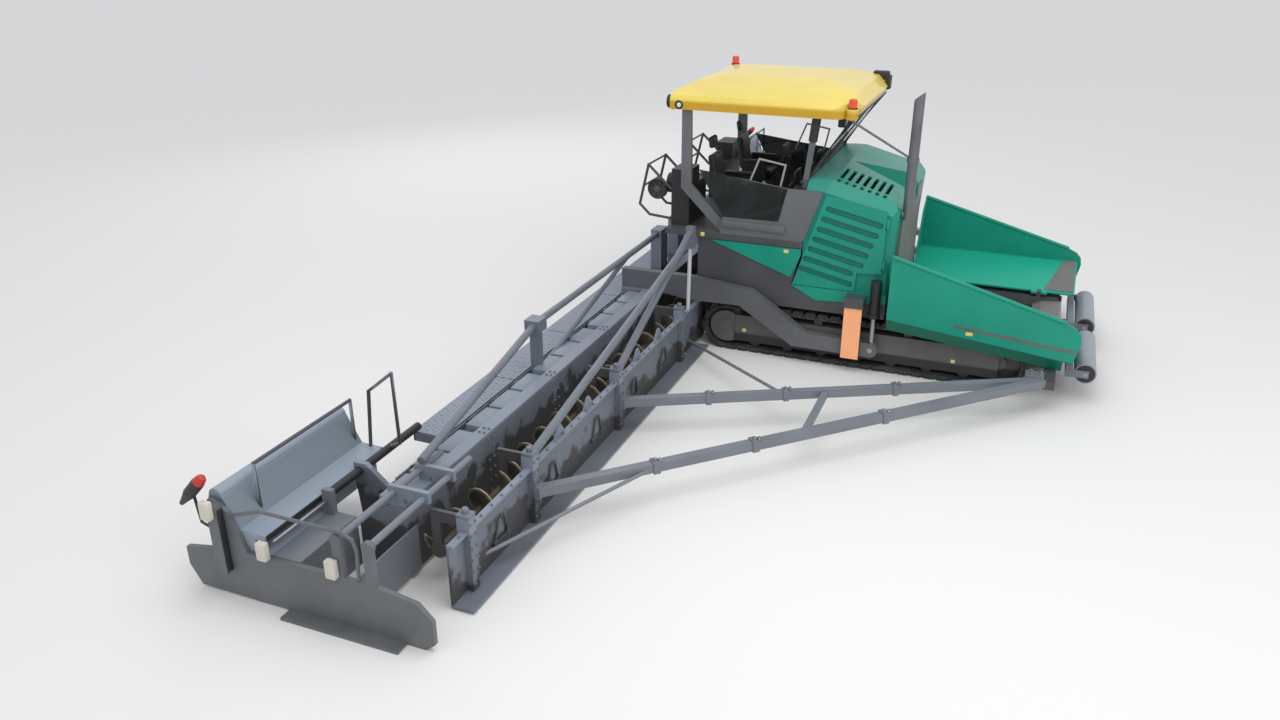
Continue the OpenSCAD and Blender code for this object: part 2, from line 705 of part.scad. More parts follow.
module auger_shields() {
  color(slate) from_axle() both_sides() {
    block([shield_x, cw, 20], [shield_x + 25, shield_end, shield_top]);
    block([shield_x, cw, shield_top - 30], [shield_x + 70, shield_end, shield_top]);
    block([shield_x, half_span + 60, 20], [shield_x + 250, shield_end, 45]);
    for (y = post_y)
      block([shield_x - 40, y - 60, 60], [shield_x + 100, y + 60, post_top]);
    for (i = [0, 1], f = [0.35, 0.68]) {
      y = post_y[i] + f * (post_y[i + 1] - post_y[i]);
      run(shield_x, shield_x + 20) polygon([[y - 130, shield_top - 5], [y + 130, shield_top - 5],
        [y + 35, shield_top + 130], [y - 35, shield_top + 130]]);
    }
  }
}

// Ends of the long push beams
beam_front = [chassis_front - 150, half_span + 500, 435];
beam_in_end = [shield_x + 130, post_y[1], 435];
beam_out_end = [shield_x + 130, post_y[2], 435];

// A point on the inner or outer push beam, t from its front end
function on_beam(end, t) = beam_front + t * (end - beam_front);

module push_beam_part(end, w) {
  difference() {
    union() {
      beam(beam_front, end, w);
      block(end + [-100, -70, -70], end + [40, 70, 70]);
      for (t = [0.36, 0.62, 0.8])
        beam(on_beam(end, t), on_beam(end, t + 0.012), w + 30);
    }
    block([chassis_front - 400, cw - 10, 300], [chassis_front - 20, half_span + 560, 520]);
    block([shield_x - 200, 0, 0], [shield_x + 100, half_pave, 900]);
  }
}

module push_braces() {
  a = on_beam(beam_in_end, 0.53);
  b = on_beam(beam_out_end, 0.53);
  color(slate) from_axle() both_sides() {
    difference() {
      block([chassis_front - 160 - 240, half_span + 350, 360], [chassis_front - 160, half_span + 560, 510]);
      block([chassis_front - 420, half_span + 340, 410], [chassis_front - 300, half_span + 570, 460]);
    }
    push_beam_part(beam_in_end, beam_w);
    difference() {
      push_beam_part(beam_out_end, beam_w);
      push_beam_part(beam_in_end, beam_w + 0.6);
    }
    difference() {
      union() {
        beam(a, b, beam_w * 0.7);
        bar([shield_x, half_span + 350, 200], on_beam(beam_in_end, 0.63), 22);
        bar([shield_x, shield_end - 630, 220], on_beam(beam_out_end, 0.8), 22);
      }
      push_beam_part(beam_in_end, beam_w + 0.6);
      push_beam_part(beam_out_end, beam_w + 0.6);
      block([shield_x - 100, 0, 0], [shield_x + 25, half_pave, 900]);
    }
  }
}

// Brackets behind the platform that carry the upper braces, grown by g
module brace_heads(g) {
  block([-560 - g, cw, floor_z - 200 - g], [-480 + g, half_span + 300 + g, floor_z - 95 + g]);
  block([-570 - g, half_span + 190 - g, floor_z - 200 - g], [-450 + g, half_span + 300 + g, floor_z + 130 + g]);
}

module upper_braces() {
  color(slate) from_axle() both_sides() {
    brace_heads(0);
    for (k = [1, 2]) difference() {
      bar([-510, half_span + 250, floor_z + 160 - 110 * k], [shield_x + 30, post_y[k] - 20, post_top - 40], brace_r);
      brace_heads(gap);
      block([shield_x - 40, post_y[k] - 60, 60], [shield_x + 100, post_y[k] + 60, post_top]);
    }
    difference() {
      bar([-510, half_span + 250, floor_z - 150], [shield_x + 30, half_span + 420, shield_top - 60], 28);
      brace_heads(gap);
      block([shield_x, cw, shield_top - 300], [shield_x + 70, shield_end, shield_top]);
    }
  }
}

// The open screed box as plates that stand a hair apart
module screed_box(y0, y1) {
  slab(y0, y1) translate([screed_x - 30, sole_t]) square([30, wall_top - sole_t]);
  slab(y0, y1) translate([screed_x - 160, wall_top - 30]) square([130 - gap, 30]);
  slab(y0, y1) translate([screed_rear, sole_t]) square([530 - gap, 30]);
  slab(y0, y1) translate([screed_rear, sole_t + 30 + gap]) square([30, 570 - sole_t]);
}

module screed_rib(y) {
  slab(y, y + 25) polygon([[screed_x - 30 - gap, box_z], [screed_x - 30 - gap, wall_top - 30 - gap],
    [screed_x - 155, wall_top - 30 - gap], [screed_rear + 30 + gap, 600], [screed_rear + 30 + gap, box_z]]);
}

module screed_center() {
  color(slate) from_axle() {
    screed_box(-center_y, center_y);
    both_sides() screed_rib(center_y - 25);
    both_sides() screed_rib(900);
    both_sides() block([screed_rear + 30 + gap, arm_y, box_z], [screed_x - 160 - gap, arm_y + arm_t, wall_top]);
    both_sides() block([screed_rear + 80, 250, box_z], [screed_x - 300, 550, 1450]);
  }
}

module screed_wings() {
  step = (wing_end - center_y) / 4;
  color(slate) from_axle() both_sides() {
    screed_box(center_y + 1, wing_end);
    screed_rib(center_y + 2);
    screed_rib(wing_end - 25);
    for (i = [1 : 3], k = [-26, 1])
      screed_rib(center_y + i * step + k);
    // The ladder that holds the extension's rails
    for (y = frame_y) difference() {
      union() {
        block([screed_x - 200, y - 25, wall_top + 50], [screed_x + 260, y + 25, wall_top + 170]);
        block([screed_x - 150, y - 25, wall_top + 0.3], [screed_x - 20, y + 25, wall_top + 60]);
      }
      for (x = rail_x)
        disc(x, rail_z, 36, y - 30, y + 30);
    }
    // The plate that holds the extension's guide tube
    difference() {
      slab(base_y, base_y + 60) polygon([[screed_rear - gap, 100], [screed_rear - 360, 100], [screed_rear - 412, 690],
        [screed_rear - 412, 860], [screed_rear - 260, 860], [screed_rear - gap, 630]]);
      disc(guide_x, guide_z, guide_r + 1, base_y - 5, base_y + 65);
    }
  }
}

module sole_plates() {
  color(steel) from_axle() {
    block([screed_rear, -center_y + 1, 0], [screed_x, center_y - 1, sole_t]);
    both_sides() block([screed_rear, center_y + 2, 0], [screed_x, wing_end, sole_t]);
  }
}

module walk_piece(y0, y1) {
  block([screed_rear - 400, y0, walk_z - 35], [screed_rear - 5, y1, walk_z]);
  block([screed_rear - 400, y0, walk_z - 120], [screed_rear - 380, y1, walk_z - 35 - gap]);
  for (y = [y0 + 100, y1 - 140])
    slab(y, y + 40) polygon([[screed_rear, 400], [screed_rear, 600], [screed_rear - 5, walk_z - 35 - gap],
      [screed_rear - 300, walk_z - 35 - gap]]);
}

module walkways() {
  step = (walk_end - center_y) / 3;
  color(slate) from_axle() {
    walk_piece(-center_y + 10, center_y - 10);
    both_sides() for (i = [0 : 2])
      walk_piece(center_y + 10 + i * step, center_y - 10 + (i + 1) * step);
  }
}

module screed_truss() {
  color(slate) from_axle() both_sides() {
    difference() {
      bar([-1500, 550 + gap, 1380], [-1500, truss_y, 1390], truss_r);
      cut_block([-1600, truss_y - 110, 1300], [-1400, truss_y + 110, 1460]);
    }
    block([-1600, truss_y - 110, 1300], [-1400, truss_y + 110, 1460]);
    block([-1570, truss_y - 40, box_z], [-1430, truss_y + 40, 1300 - gap]);
    difference() {
      bar([-1500, truss_y, 1390], [screed_x - 110, frame_y[0] + 20, wall_top + 167 + truss_r], truss_r);
      cut_block([-1600, truss_y - 110, 1300], [-1400, truss_y + 110, 1460]);
      block([screed_x - 300, frame_y[0] - 90, wall_top], [screed_x + 100, frame_y[0] + 90, wall_top + 170 + gap]);
    }
    difference() {
      bar([-1500, half_span + 300, 1370], [-1500, truss_y, 700], 36);
      bar([-1500, 500, 1380], [-1500, truss_y, 1390], truss_r + gap);
      cut_block([-1570, truss_y - 40, sole_t], [-1430, truss_y + 140, 1300]);
    }
  }
}

module ext_frame(side) {
  rear = screed_rear - 60;
  rail = screed_rear - 760;
  loop_y = ext_in + 30;
  color(slate) from_axle() on_side(side) {
    block([rear - 500, half_pave - 850, 0], [rear, half_pave, 560]);
    block([screed_x + 10, half_pave - 950, 60], [screed_x + 30, half_pave, 560]);
    for (x = rail_x)
      disc(x, rail_z, 35, half_pave - 1700, half_pave);
    disc(guide_x, guide_z, guide_r, half_pave - 2400, half_pave - 780);
    block([guide_x - 60, half_pave - 840, 550], [guide_x + 60, half_pave - 780, guide_z + 60]);
    // The deck, a bench and a back with a round ridge
    slab(ext_in, half_pave) {
      polygon([[screed_rear - 430, 690], [screed_rear - 430, 750], [screed_rear - 715, 757],
        [screed_rear - 895, 1095], [screed_rear - 1030, 1095], [screed_rear - 1090, 900],
        [screed_rear - 1100, 400], [rear - 500, 400], [rear - 500, 690]]);
      translate([screed_rear - 960, 1080]) circle(71);
    }
    for (y = [ext_in + 60, half_pave - 330])
      bar([rail, y, 790], [rail, y, 1290], 18);
    bar([rail, ext_in + 60, 1290], [rail, half_pave - 330, 1290], 19);
    tube_path([[screed_rear - 582, loop_y, 735], [screed_rear - 524, loop_y, 1425],
      [screed_rear - 206, loop_y, 1688], [screed_rear - 192, loop_y, 862], [screed_rear - 450, loop_y, 732]], 18);
  }
}

module end_gate(side) {
  tail = -rear_reach;
  mast = tail + 500;
  mid = half_pave + 25;
  out = half_pave + 85;
  color(slate) from_axle() on_side(side) {
    slab(half_pave, half_pave + 50) polygon([[tail, 230], [tail + 120, 20], [-400, 0], [-300, 80], [-300, 330],
      [-450, 485], [-860, 550], [-1330, 560], [mast + 270, 545], [mast + 110, 960], [mast - 70, 1065],
      [mast - 110, 1050], [mast - 130, 500], [tail, 430]]);
    // Stems that hold the two rails
    for (x = rail_x) {
      block([x - 50, half_pave, 500], [x + 50, half_pave + 50, rail_z]);
      disc(x, rail_z, 62, half_pave, half_pave + 50);
    }
    block([mast - 60, half_pave + 40, 300], [mast + 60, half_pave + 130, 1040]);
    block([-1900, half_pave + 40, 0], [-600, half_pave + 200, 30]);
    tube_path([[mast + 60, mid, 890], [mast + 480, mid, 1042], [-1200, mid, 1038], [-1085, mid, 985],
      [-1050, mid, 870], [-1072, mid, 530]], 18);
    // The sensor on its stalk
    tube_path([[mast - 40, out, 760], [mast - 185, out, 805], [mast - 225, out, 1125]], 12);
    translate([mast - 395, out, 965]) rotate([0, 43, 0]) rotate_extrude()
      polygon([[0, 0], [22, 0], [38, 90], [60, 190], [60, 380], [48, 450], [30, 480], [0, 485]]);
  }
}

chassis();
tracks();
track_frames();
conveyor();
engine();
body_sides();
side_trim();
hood();
hood_door(1);  // hood_door_left
hood_door(-1);  // hood_door_right
exhaust();
platform();
platform_sides();
side_panels();
roof();
windshield();
seat_frames();
seat_pads();
console();
handrails();
lamps();
hopper_wall();
hopper(1);  // hopper_left
hopper(-1);  // hopper_right
push_beam();
push_roller(1);  // push_roller_left
push_roller(-1);  // push_roller_right
tow_rams();
tow_guides();
tow_blocks();
tow_arms();
auger_supports();
auger(1);  // auger_left
auger(-1);  // auger_right
auger_shields();
push_braces();
upper_braces();
screed_center();
screed_wings();
sole_plates();
walkways();
screed_truss();
ext_frame(1);  // ext_frame_left
ext_frame(-1);  // ext_frame_right
end_gate(1);  // end_gate_left
end_gate(-1);  // end_gate_right
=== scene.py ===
# %% [markdown]
# # Dressing an asphalt paver
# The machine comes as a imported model: separate solids that already stand in the right place and
# already know which body they move with. This lesson gives them paint, and adds what is too small
# or too soft for the solids: bolts, seals, cushions, levers, lamps and tread.

import json
import math

import bmesh
import bpy
from mathutils import Matrix, Vector

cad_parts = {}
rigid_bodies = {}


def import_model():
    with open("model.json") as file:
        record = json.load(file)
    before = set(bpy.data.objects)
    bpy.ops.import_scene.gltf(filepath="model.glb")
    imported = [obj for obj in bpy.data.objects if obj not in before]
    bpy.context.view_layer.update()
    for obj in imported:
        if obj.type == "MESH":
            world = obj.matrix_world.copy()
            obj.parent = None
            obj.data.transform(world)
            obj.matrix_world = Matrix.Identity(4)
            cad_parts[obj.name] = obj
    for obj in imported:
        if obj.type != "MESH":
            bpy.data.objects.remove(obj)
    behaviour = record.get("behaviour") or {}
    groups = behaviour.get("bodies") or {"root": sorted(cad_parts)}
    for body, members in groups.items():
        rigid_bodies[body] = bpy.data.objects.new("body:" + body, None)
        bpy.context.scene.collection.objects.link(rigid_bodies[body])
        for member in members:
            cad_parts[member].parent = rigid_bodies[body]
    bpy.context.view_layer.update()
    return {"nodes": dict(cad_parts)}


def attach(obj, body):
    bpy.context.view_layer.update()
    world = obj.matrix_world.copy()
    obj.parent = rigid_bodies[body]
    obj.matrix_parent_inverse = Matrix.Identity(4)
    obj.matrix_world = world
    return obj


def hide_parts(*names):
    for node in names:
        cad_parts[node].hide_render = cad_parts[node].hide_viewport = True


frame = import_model()

# %% [markdown]
# All measures below are taken from the axle of the drive sprockets, because that is a point one can
# find on the machine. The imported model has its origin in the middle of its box, 1.05 m ahead of that
# axle, so one small function moves a point from the one to the other.

# %% Measures from the sprocket axle
AXLE_X = -1.05
HALF_SPAN = 1.5
HALF_PAVE = 9.1
FLOOR_Z = 1.81
ROOF_Z = 3.56
HOPPER_X, CREASE_Z, CREASE_FALL, FLOOR_SLOPE = 2.4, 0.925, 0.109, 0.308
SIDES = {"left": 1, "right": -1}


def at(x, y, z):
    """A point given from the sprocket axle, in the frame of the model."""
    return Vector((x + AXLE_X, y, z))


print("sprocket axle at", tuple(at(0, 0, 0)))

# %% [markdown]
# The photograph looks down on the machine from its right front. The camera could be set by eye. It was
# found by matching known edges instead, so it stands 15 m to the right and 6 m up, with a wide lens.

# %% Camera
scene = bpy.context.scene
eye = bpy.data.cameras.new("eye")
eye.sensor_width = 36
eye.lens = 28.08
eye.clip_end = 200
camera = bpy.data.objects.new("camera", eye)
camera.location = at(4.063, -15.085, 6.0)
camera.rotation_euler = (math.radians(90 - 23.7), 0, math.radians(111.93 - 90))
scene.collection.objects.link(camera)
scene.camera = camera
print("camera at", tuple(round(v, 2) for v in camera.location))

# %% [markdown]
# The studio is one wide pale floor under a soft sky, with three large soft lamps. The camera looks down
# steeply enough for the floor to fill the whole picture. A picture of a real sky could light it. Sky and
# lamps at a plain level were chosen, so that a colour renders about as it is written.

# %% Studio
scene.view_settings.view_transform = "Standard"


def node_tree(material):
    """The empty node tree of a material."""
    material.use_nodes = True
    material.node_tree.nodes.clear()
    return material.node_tree


def add(tree, kind, inputs=None, **settings):
    """A new node. Each input is a plain value or another node's output."""
    node = tree.nodes.new(kind)
    for name, value in settings.items():
        setattr(node, name, value)
    for name, value in (inputs or {}).items():
        if isinstance(value, bpy.types.NodeSocket):
            tree.links.new(value, node.inputs[name])
        else:
            node.inputs[name].default_value = value
    return node


def floor_material():
    """Pale matt floor that keeps the machine's soft shadow."""
    material = bpy.data.materials.new("studio_floor")
    tree = node_tree(material)
    shade = add(tree, "ShaderNodeBsdfDiffuse", {"Color": (0.785, 0.775, 0.760, 1)})
    add(tree, "ShaderNodeOutputMaterial", {"Surface": shade.outputs["BSDF"]})
    return material


def make_floor():
    mesh = bpy.data.meshes.new("studio")
    reach = 160
    corners = [(-reach, -reach, 0), (reach, -reach, 0), (reach, reach, 0), (-reach, reach, 0)]
    mesh.from_pydata(corners, [], [(0, 1, 2, 3)])
    mesh.materials.append(floor_material())
    floor = bpy.data.objects.new("studio", mesh)
    scene.collection.objects.link(floor)


def lamp(name, place, target, size, watts):
    light = bpy.data.lights.new(name, "AREA")
    light.size = size
    light.energy = watts
    holder = bpy.data.objects.new(name, light)
    holder.location = place
    holder.rotation_euler = (Vector(target) - Vector(place)).to_track_quat("-Z", "Y").to_euler()
    scene.collection.objects.link(holder)


make_floor()
world = bpy.data.worlds.new("soft sky")
world.use_nodes = True
sky = world.node_tree.nodes["Background"]
sky.inputs["Color"].default_value = (0.95, 0.965, 1.0, 1)
sky.inputs["Strength"].default_value = 0.90
scene.world = world
lamp("overhead", (1.5, -7, 11), (1, -6, 0), 8, 430)
lamp("front", (14, -12, 9), (0, -2, 1), 8, 420)
lamp("rim", (-12, 10, 10), (0, 0, 1), 8, 300)

# %% [markdown]
# A finish is a tree of shader nodes. Each node could be added by hand in the Shading tab. A few small
# functions name what the finishes do again and again, so that a recipe reads like a sentence.

# %% Small helpers for shader nodes


def place(tree):
    """The Object coordinates, which stay on a part when it moves."""
    return tree.nodes.new("ShaderNodeTexCoord").outputs["Object"]


def object_axes(tree):
    """The X, Y and Z outputs of the Object coordinates."""
    return add(tree, "ShaderNodeSeparateXYZ", {"Vector": place(tree)}).outputs


def cloud(tree, scale, detail):
    """Noise from 0 to 1."""
    noise = add(tree, "ShaderNodeTexNoise", {"Scale": scale, "Detail": detail, "Vector": place(tree)})
    return noise.outputs["Fac"]


def mix_colour(tree, factor, a, b):
    """A mix of two colours, each a fixed colour or another node's output."""
    a, b = ((*c, 1.0) if isinstance(c, tuple) else c for c in (a, b))
    return add(tree, "ShaderNodeMix", {"Factor": factor, "A": a, "B": b}, data_type="RGBA").outputs["Result"]


def spread(tree, value, low, high, to_low=0.0, to_high=1.0):
    """Stretches a value from one range to another, and clamps it."""
    ends = {"From Min": low, "From Max": high, "To Min": to_low, "To Max": to_high}
    return add(tree, "ShaderNodeMapRange", {"Value": value, **ends}).outputs["Result"]


def maths(tree, operation, *values):
    """A Math node. Each value is a number or another node's output."""
    return add(tree, "ShaderNodeMath", dict(enumerate(values)), operation=operation).outputs["Value"]


def times(tree, a, b):
    return maths(tree, "MULTIPLY", a, b)


# %% [markdown]
# Paint on a working machine is never one flat colour. Every finish here is the same small recipe: a
# wide cloud that shifts the colour a little, a fine grain that gives a bump, a roughness that follows
# the cloud, and dust that gathers close to the ground. Painted images could do it too, but nodes that
# read Object coordinates need no unwrapping and stay on the part when the part moves.

# %% One recipe for every finish
DUST = (0.20, 0.185, 0.165)


def finish(name, colour, rough=0.4, metal=0.0, shift=0.12, grain=180.0, bump=0.02, dust=0.25, coat=0.0, gloss=0.5):
    """A painted, cast or moulded surface with cloud, grain and dust."""
    material = bpy.data.materials.new(name)
    tree = node_tree(material)
    wide = cloud(tree, 1.7, 6.0)
    dark = tuple(c * (1 - shift) for c in colour)
    light = tuple(min(1.0, c * (1 + shift)) for c in colour)
    tone = mix_colour(tree, spread(tree, wide, 0.32, 0.68), dark, light)
    if dust:
        low = spread(tree, object_axes(tree)["Z"], 0.9, 0.0, 0.0, dust)
        patch = spread(tree, cloud(tree, 6.0, 8.0), 0.4, 0.65)
        tone = mix_colour(tree, times(tree, low, patch), tone, DUST)
    relief = add(tree, "ShaderNodeBump", {"Strength": bump, "Distance": 0.002, "Height": cloud(tree, grain, 2.0)})
    shade = add(tree, "ShaderNodeBsdfPrincipled", {
        "Base Color": tone, "Metallic": metal, "Coat Weight": coat, "Specular IOR Level": gloss,
        "Roughness": spread(tree, wide, 0.3, 0.7, rough - 0.06, rough + 0.08), "Normal": relief.outputs["Normal"],
    })
    add(tree, "ShaderNodeOutputMaterial", {"Surface": shade.outputs["BSDF"]})
    return material


TEAL = (0.007, 0.275, 0.185)
teal = finish("teal_gloss_paint", TEAL, rough=0.38, coat=0.05, shift=0.08, dust=0.12, gloss=0.3)
hood_teal = finish("hood_teal_paint", (0.007, 0.242, 0.171), rough=0.38, coat=0.10, shift=0.08, dust=0, gloss=0.3)
slate = finish("slate_paint", (0.145, 0.162, 0.190), rough=0.45)
deck_slate = finish("deck_slate_paint", (0.190, 0.220, 0.275), rough=0.45, shift=0.10, dust=0.1)
beam_slate = finish("beam_slate_paint", (0.172, 0.188, 0.215), rough=0.45, shift=0.10)
gate_slate = finish("gate_slate_paint", (0.120, 0.130, 0.140), rough=0.5, shift=0.10)
roller_paint = finish("roller_paint", (0.24, 0.265, 0.31), rough=0.36, shift=0.10, dust=0.15)
warm_grey = finish("warm_grey_paint", (0.066, 0.067, 0.072), rough=0.48, shift=0.14)
arm_grey = finish("arm_grey_paint", (0.100, 0.104, 0.114), rough=0.46, shift=0.10)
link_grey = finish("link_grey_paint", (0.030, 0.030, 0.031), rough=0.6, shift=0.2, dust=0.1)
wall_grey = finish("wall_grey_paint", (0.190, 0.176, 0.170), rough=0.5, dust=0.1)
mat_grey = finish("mat_grey_rubber", (0.165, 0.163, 0.155), rough=0.7, shift=0.15, dust=0)
panel_grey = finish("panel_grey_paint", (0.114, 0.120, 0.128), rough=0.42, shift=0.10, dust=0)
black = finish("black_plastic", (0.018, 0.018, 0.019), rough=0.5, shift=0.2, bump=0.05, dust=0.05)
rubber = finish("track_rubber", (0.024, 0.024, 0.025), rough=0.75, shift=0.25, bump=0.25, grain=90, dust=0.22)
bare_steel = finish("worn_steel", (0.42, 0.42, 0.43), rough=0.36, metal=0.9, shift=0.2, bump=0.04, dust=0.2)
cast = finish("cast_iron", (0.06, 0.06, 0.062), rough=0.7, shift=0.25, bump=0.2, dust=0)
stack_steel = finish("stack_steel", (0.155, 0.160, 0.172), rough=0.30, metal=0.45, shift=0.2, dust=0)
cream = finish("cream_box", (0.62, 0.58, 0.50), rough=0.5, shift=0.06, dust=0.1)
red = finish("red_plastic", (0.55, 0.03, 0.02), rough=0.35, shift=0.1, dust=0)
print("finishes:", len(bpy.data.materials))

# %% [markdown]
# Some paint depends on where it is. The auger's steel is brown with asphalt and polished where its rim
# rubs. The lamps are one solid, but the beacons are red and the floodlights black, and the orange
# guide strips have a dark cap. Faces could be given their own materials, but a mask on the coordinates
# also works where the line between two colours crosses a face.

# %% Augers, lamps and guide strips


def tint(material, mask, colour):
    """Gives a finish another colour where a mask is 1."""
    tree = material.node_tree
    slot = next(n for n in tree.nodes if n.type == "BSDF_PRINCIPLED").inputs["Base Color"]
    tree.links.new(mix_colour(tree, mask, slot.links[0].from_socket, colour), slot)
    return material


def auger_finish(axis_x, axis_z):
    """Brown steel that is bright at the rim of the flights."""
    material = finish("auger_steel", (0.115, 0.092, 0.070), rough=0.5, metal=0.4, shift=0.3, bump=0.15, dust=0)
    tree = material.node_tree
    flat = add(tree, "ShaderNodeVectorMath", {0: place(tree), 1: (1, 0, 1)}, operation="MULTIPLY")
    ends = {0: flat.outputs["Vector"], 1: (axis_x, 0, axis_z)}
    reach = add(tree, "ShaderNodeVectorMath", ends, operation="DISTANCE")
    return tint(material, spread(tree, reach.outputs["Value"], 0.185, 0.222), (0.42, 0.36, 0.27))


def split_by_height(name, height, low_colour, high_colour, coat=0.4):
    """One colour below a height and another above it."""
    material = finish(name, high_colour, rough=0.3, shift=0.05, dust=0, coat=coat)
    tree = material.node_tree
    return tint(material, spread(tree, object_axes(tree)["Z"], height + 0.002, height), low_colour)


AUGER_X, AUGER_Z = -0.8, 0.4
auger_steel = auger_finish(AUGER_X + AXLE_X, AUGER_Z)
lamp_plastic = split_by_height("lamp_plastic", ROOF_Z + 0.15, (0.02, 0.02, 0.02), (0.72, 0.07, 0.02))
guide_paint = split_by_height("guide_paint", 1.0, (1.0, 0.45, 0.21), (0.075, 0.075, 0.08), coat=0)
print("finishes:", len(bpy.data.materials))

# %% [markdown]
# Each hopper half has painted shade below the crease that falls along its outer wall, where the bevel
# faces down, and is paler on the floor that the mix has rubbed. The louvres in the doors have painted
# shade that deepens towards the bottom of their grooves. Vertex colours could do it where the mesh has
# vertices. Masks from lines and planes are sharp anywhere.

# %% Teal on the hopper and the doors


def sloped(tree, value, slope, height):
    """The height of a point above a line or a plane that rises with a value."""
    return maths(tree, "MULTIPLY_ADD", value, slope, height)


def hopper_finish():
    """Teal with painted shade under the crease of the outer wall, and paler on the floor."""
    material = finish("hopper_paint", TEAL, rough=0.38, coat=0.05, shift=0.08, dust=0.12, gloss=0.3)
    tree = material.node_tree
    axes = object_axes(tree)
    crease = CREASE_Z + CREASE_FALL * at(HOPPER_X, 0, 0).x
    # Painted shade: the bevel below the crease faces down, so it is painted a darker teal.
    below = spread(tree, sloped(tree, axes["X"], CREASE_FALL, axes["Z"]), crease, crease - 0.003)
    across = maths(tree, "ABSOLUTE", axes["Y"])
    outside = spread(tree, across, 1.60, 1.61)
    tint(material, times(tree, below, outside), (0.001, 0.135, 0.084))
    bottom = times(tree, spread(tree, across, 1.72, 1.71), spread(tree, axes["Z"], 1.03, 1.02))
    bottom = times(tree, bottom, spread(tree, sloped(tree, across, -FLOOR_SLOPE, axes["Z"]), 0.462, 0.466))
    return tint(material, bottom, (0.012, 0.385, 0.260))


def door_finish():
    """Teal with painted shade that deepens towards the bottom of the louvre grooves."""
    material = finish("door_paint", (0.009, 0.260, 0.186), rough=0.38, coat=0.10, shift=0.08, dust=0, gloss=0.3)
    tree = material.node_tree
    across = maths(tree, "ABSOLUTE", object_axes(tree)["Y"])
    # Painted shade in the recessed louvre grooves, darker the deeper the face lies.
    deep = spread(tree, across, HALF_SPAN - 0.006, HALF_SPAN - 0.028)
    return tint(material, deep, (0.006, 0.168, 0.118))


hopper_paint, door_paint = hopper_finish(), door_finish()
print("finishes:", len(bpy.data.materials))

# %% [markdown]
# The shields and the screed are dark up to a ragged height, which a cloud added to the height gives:
# asphalt dirt, with the auger's shadow painted in. Above a rim their tops are paler with painted light.
# The end units have a pale bench with painted shadow on its back, one short ram among the braces is
# bright steel, and the track frames are nearly black low down round their rollers. A painted image could
# hold all this, but on a part 18 m wide it would have to be very large.

# %% Slate and grey with dirt, painted shade and painted light


def splashed_and_shaded(name, colour, height, rim, foot=-1.0):
    """Asphalt dirt and painted shadow under a ragged height, painted light above the rim, clean on a foot flange.
    """
    material = finish(name, colour, rough=0.5, shift=0.10, dust=0)
    tree = material.node_tree
    tall = object_axes(tree)["Z"]
    wave = spread(tree, cloud(tree, 3.6, 9.0), 0.3, 0.7, -0.22, 0.22)
    # Dark below a ragged height: asphalt dirt, with the auger's shadow painted in.
    dirt_and_shadow = spread(tree, maths(tree, "ADD", tall, wave), height + 0.04, height - 0.04)
    dirt_and_shadow = times(tree, dirt_and_shadow, spread(tree, tall, foot, foot + 0.004))
    tint(material, dirt_and_shadow, (0.052, 0.051, 0.053))
    # Paler above the rim: painted light on the top faces.
    return tint(material, spread(tree, tall, rim, rim + 0.002), (0.205, 0.240, 0.290))


def extension_finish():
    """A pale bench, a back in painted shadow and slate rails."""
    bench, shadow = (0.262, 0.310, 0.372), (0.178, 0.212, 0.250)
    material = finish("extension_paint", (0.165, 0.182, 0.208), rough=0.42, shift=0.08, dust=0.15)
    tree = material.node_tree
    axes = object_axes(tree)
    # The band on the back between the two heights is painted shadow.
    back = mix_colour(tree, spread(tree, axes["Z"], 0.758, 0.766), bench, shadow)
    back = mix_colour(tree, spread(tree, axes["Z"], 1.06, 1.11), back, bench)
    return tint(material, spread(tree, axes["X"], -2.06 + AXLE_X, -2.08 + AXLE_X), back)


def brace_finish():
    """Slate tubes, and bright steel on the short upright ram beside the platform."""
    material = finish("brace_paint", (0.145, 0.162, 0.190), rough=0.42)
    tree = material.node_tree
    axes = object_axes(tree)
    near = spread(tree, maths(tree, "ABSOLUTE", axes["Y"]), 2.02, 2.0)
    return tint(material, times(tree, spread(tree, axes["Z"], 1.62, 1.61), near), (0.50, 0.51, 0.53))


def frame_finish():
    """Grey, and nearly black low down round the rollers, but not on the drive's cover."""
    material = finish("track_frame_paint", (0.098, 0.096, 0.096), rough=0.55, shift=0.15, dust=0.15)
    tree = material.node_tree
    axes = object_axes(tree)
    ahead = spread(tree, axes["X"], AXLE_X + 0.127, AXLE_X + 0.130)
    dark_low = times(tree, spread(tree, axes["Z"], 0.290, 0.262), ahead)
    return tint(material, dark_low, (0.022, 0.022, 0.023))


wall_slate = splashed_and_shaded("wall_slate_paint", (0.150, 0.165, 0.190), 0.58, 0.817)
shield_slate = splashed_and_shaded("shield_slate_paint", (0.150, 0.168, 0.196), 0.34, 0.688, foot=0.046)
extension_paint, brace_paint, frame_paint = extension_finish(), brace_finish(), frame_finish()
print("finishes:", len(bpy.data.materials))

# %% [markdown]
# The roof is a pale yellow, and painted shade gives its edge a deeper yellow. The rails are dark behind
# the platform and pale beside the seats. Glass could be a true refracting shader. A plain shader with
# some see-through is quieter in the render and survives the export.

# %% Roof, rails and glass


def roof_finish():
    """Pale yellow on the crown, and painted shade that gives the edge a deeper yellow."""
    pale, deep = (0.745, 0.585, 0.105), (0.53, 0.310, 0.009)
    material = finish("yellow_roof_paint", pale, rough=0.36, coat=0.3, shift=0.05, dust=0, gloss=0.4)
    tree = material.node_tree
    # The deeper yellow on the edge below the crown is painted shade.
    return tint(material, spread(tree, object_axes(tree)["Z"], ROOF_Z + 0.15, ROOF_Z + 0.09), deep)


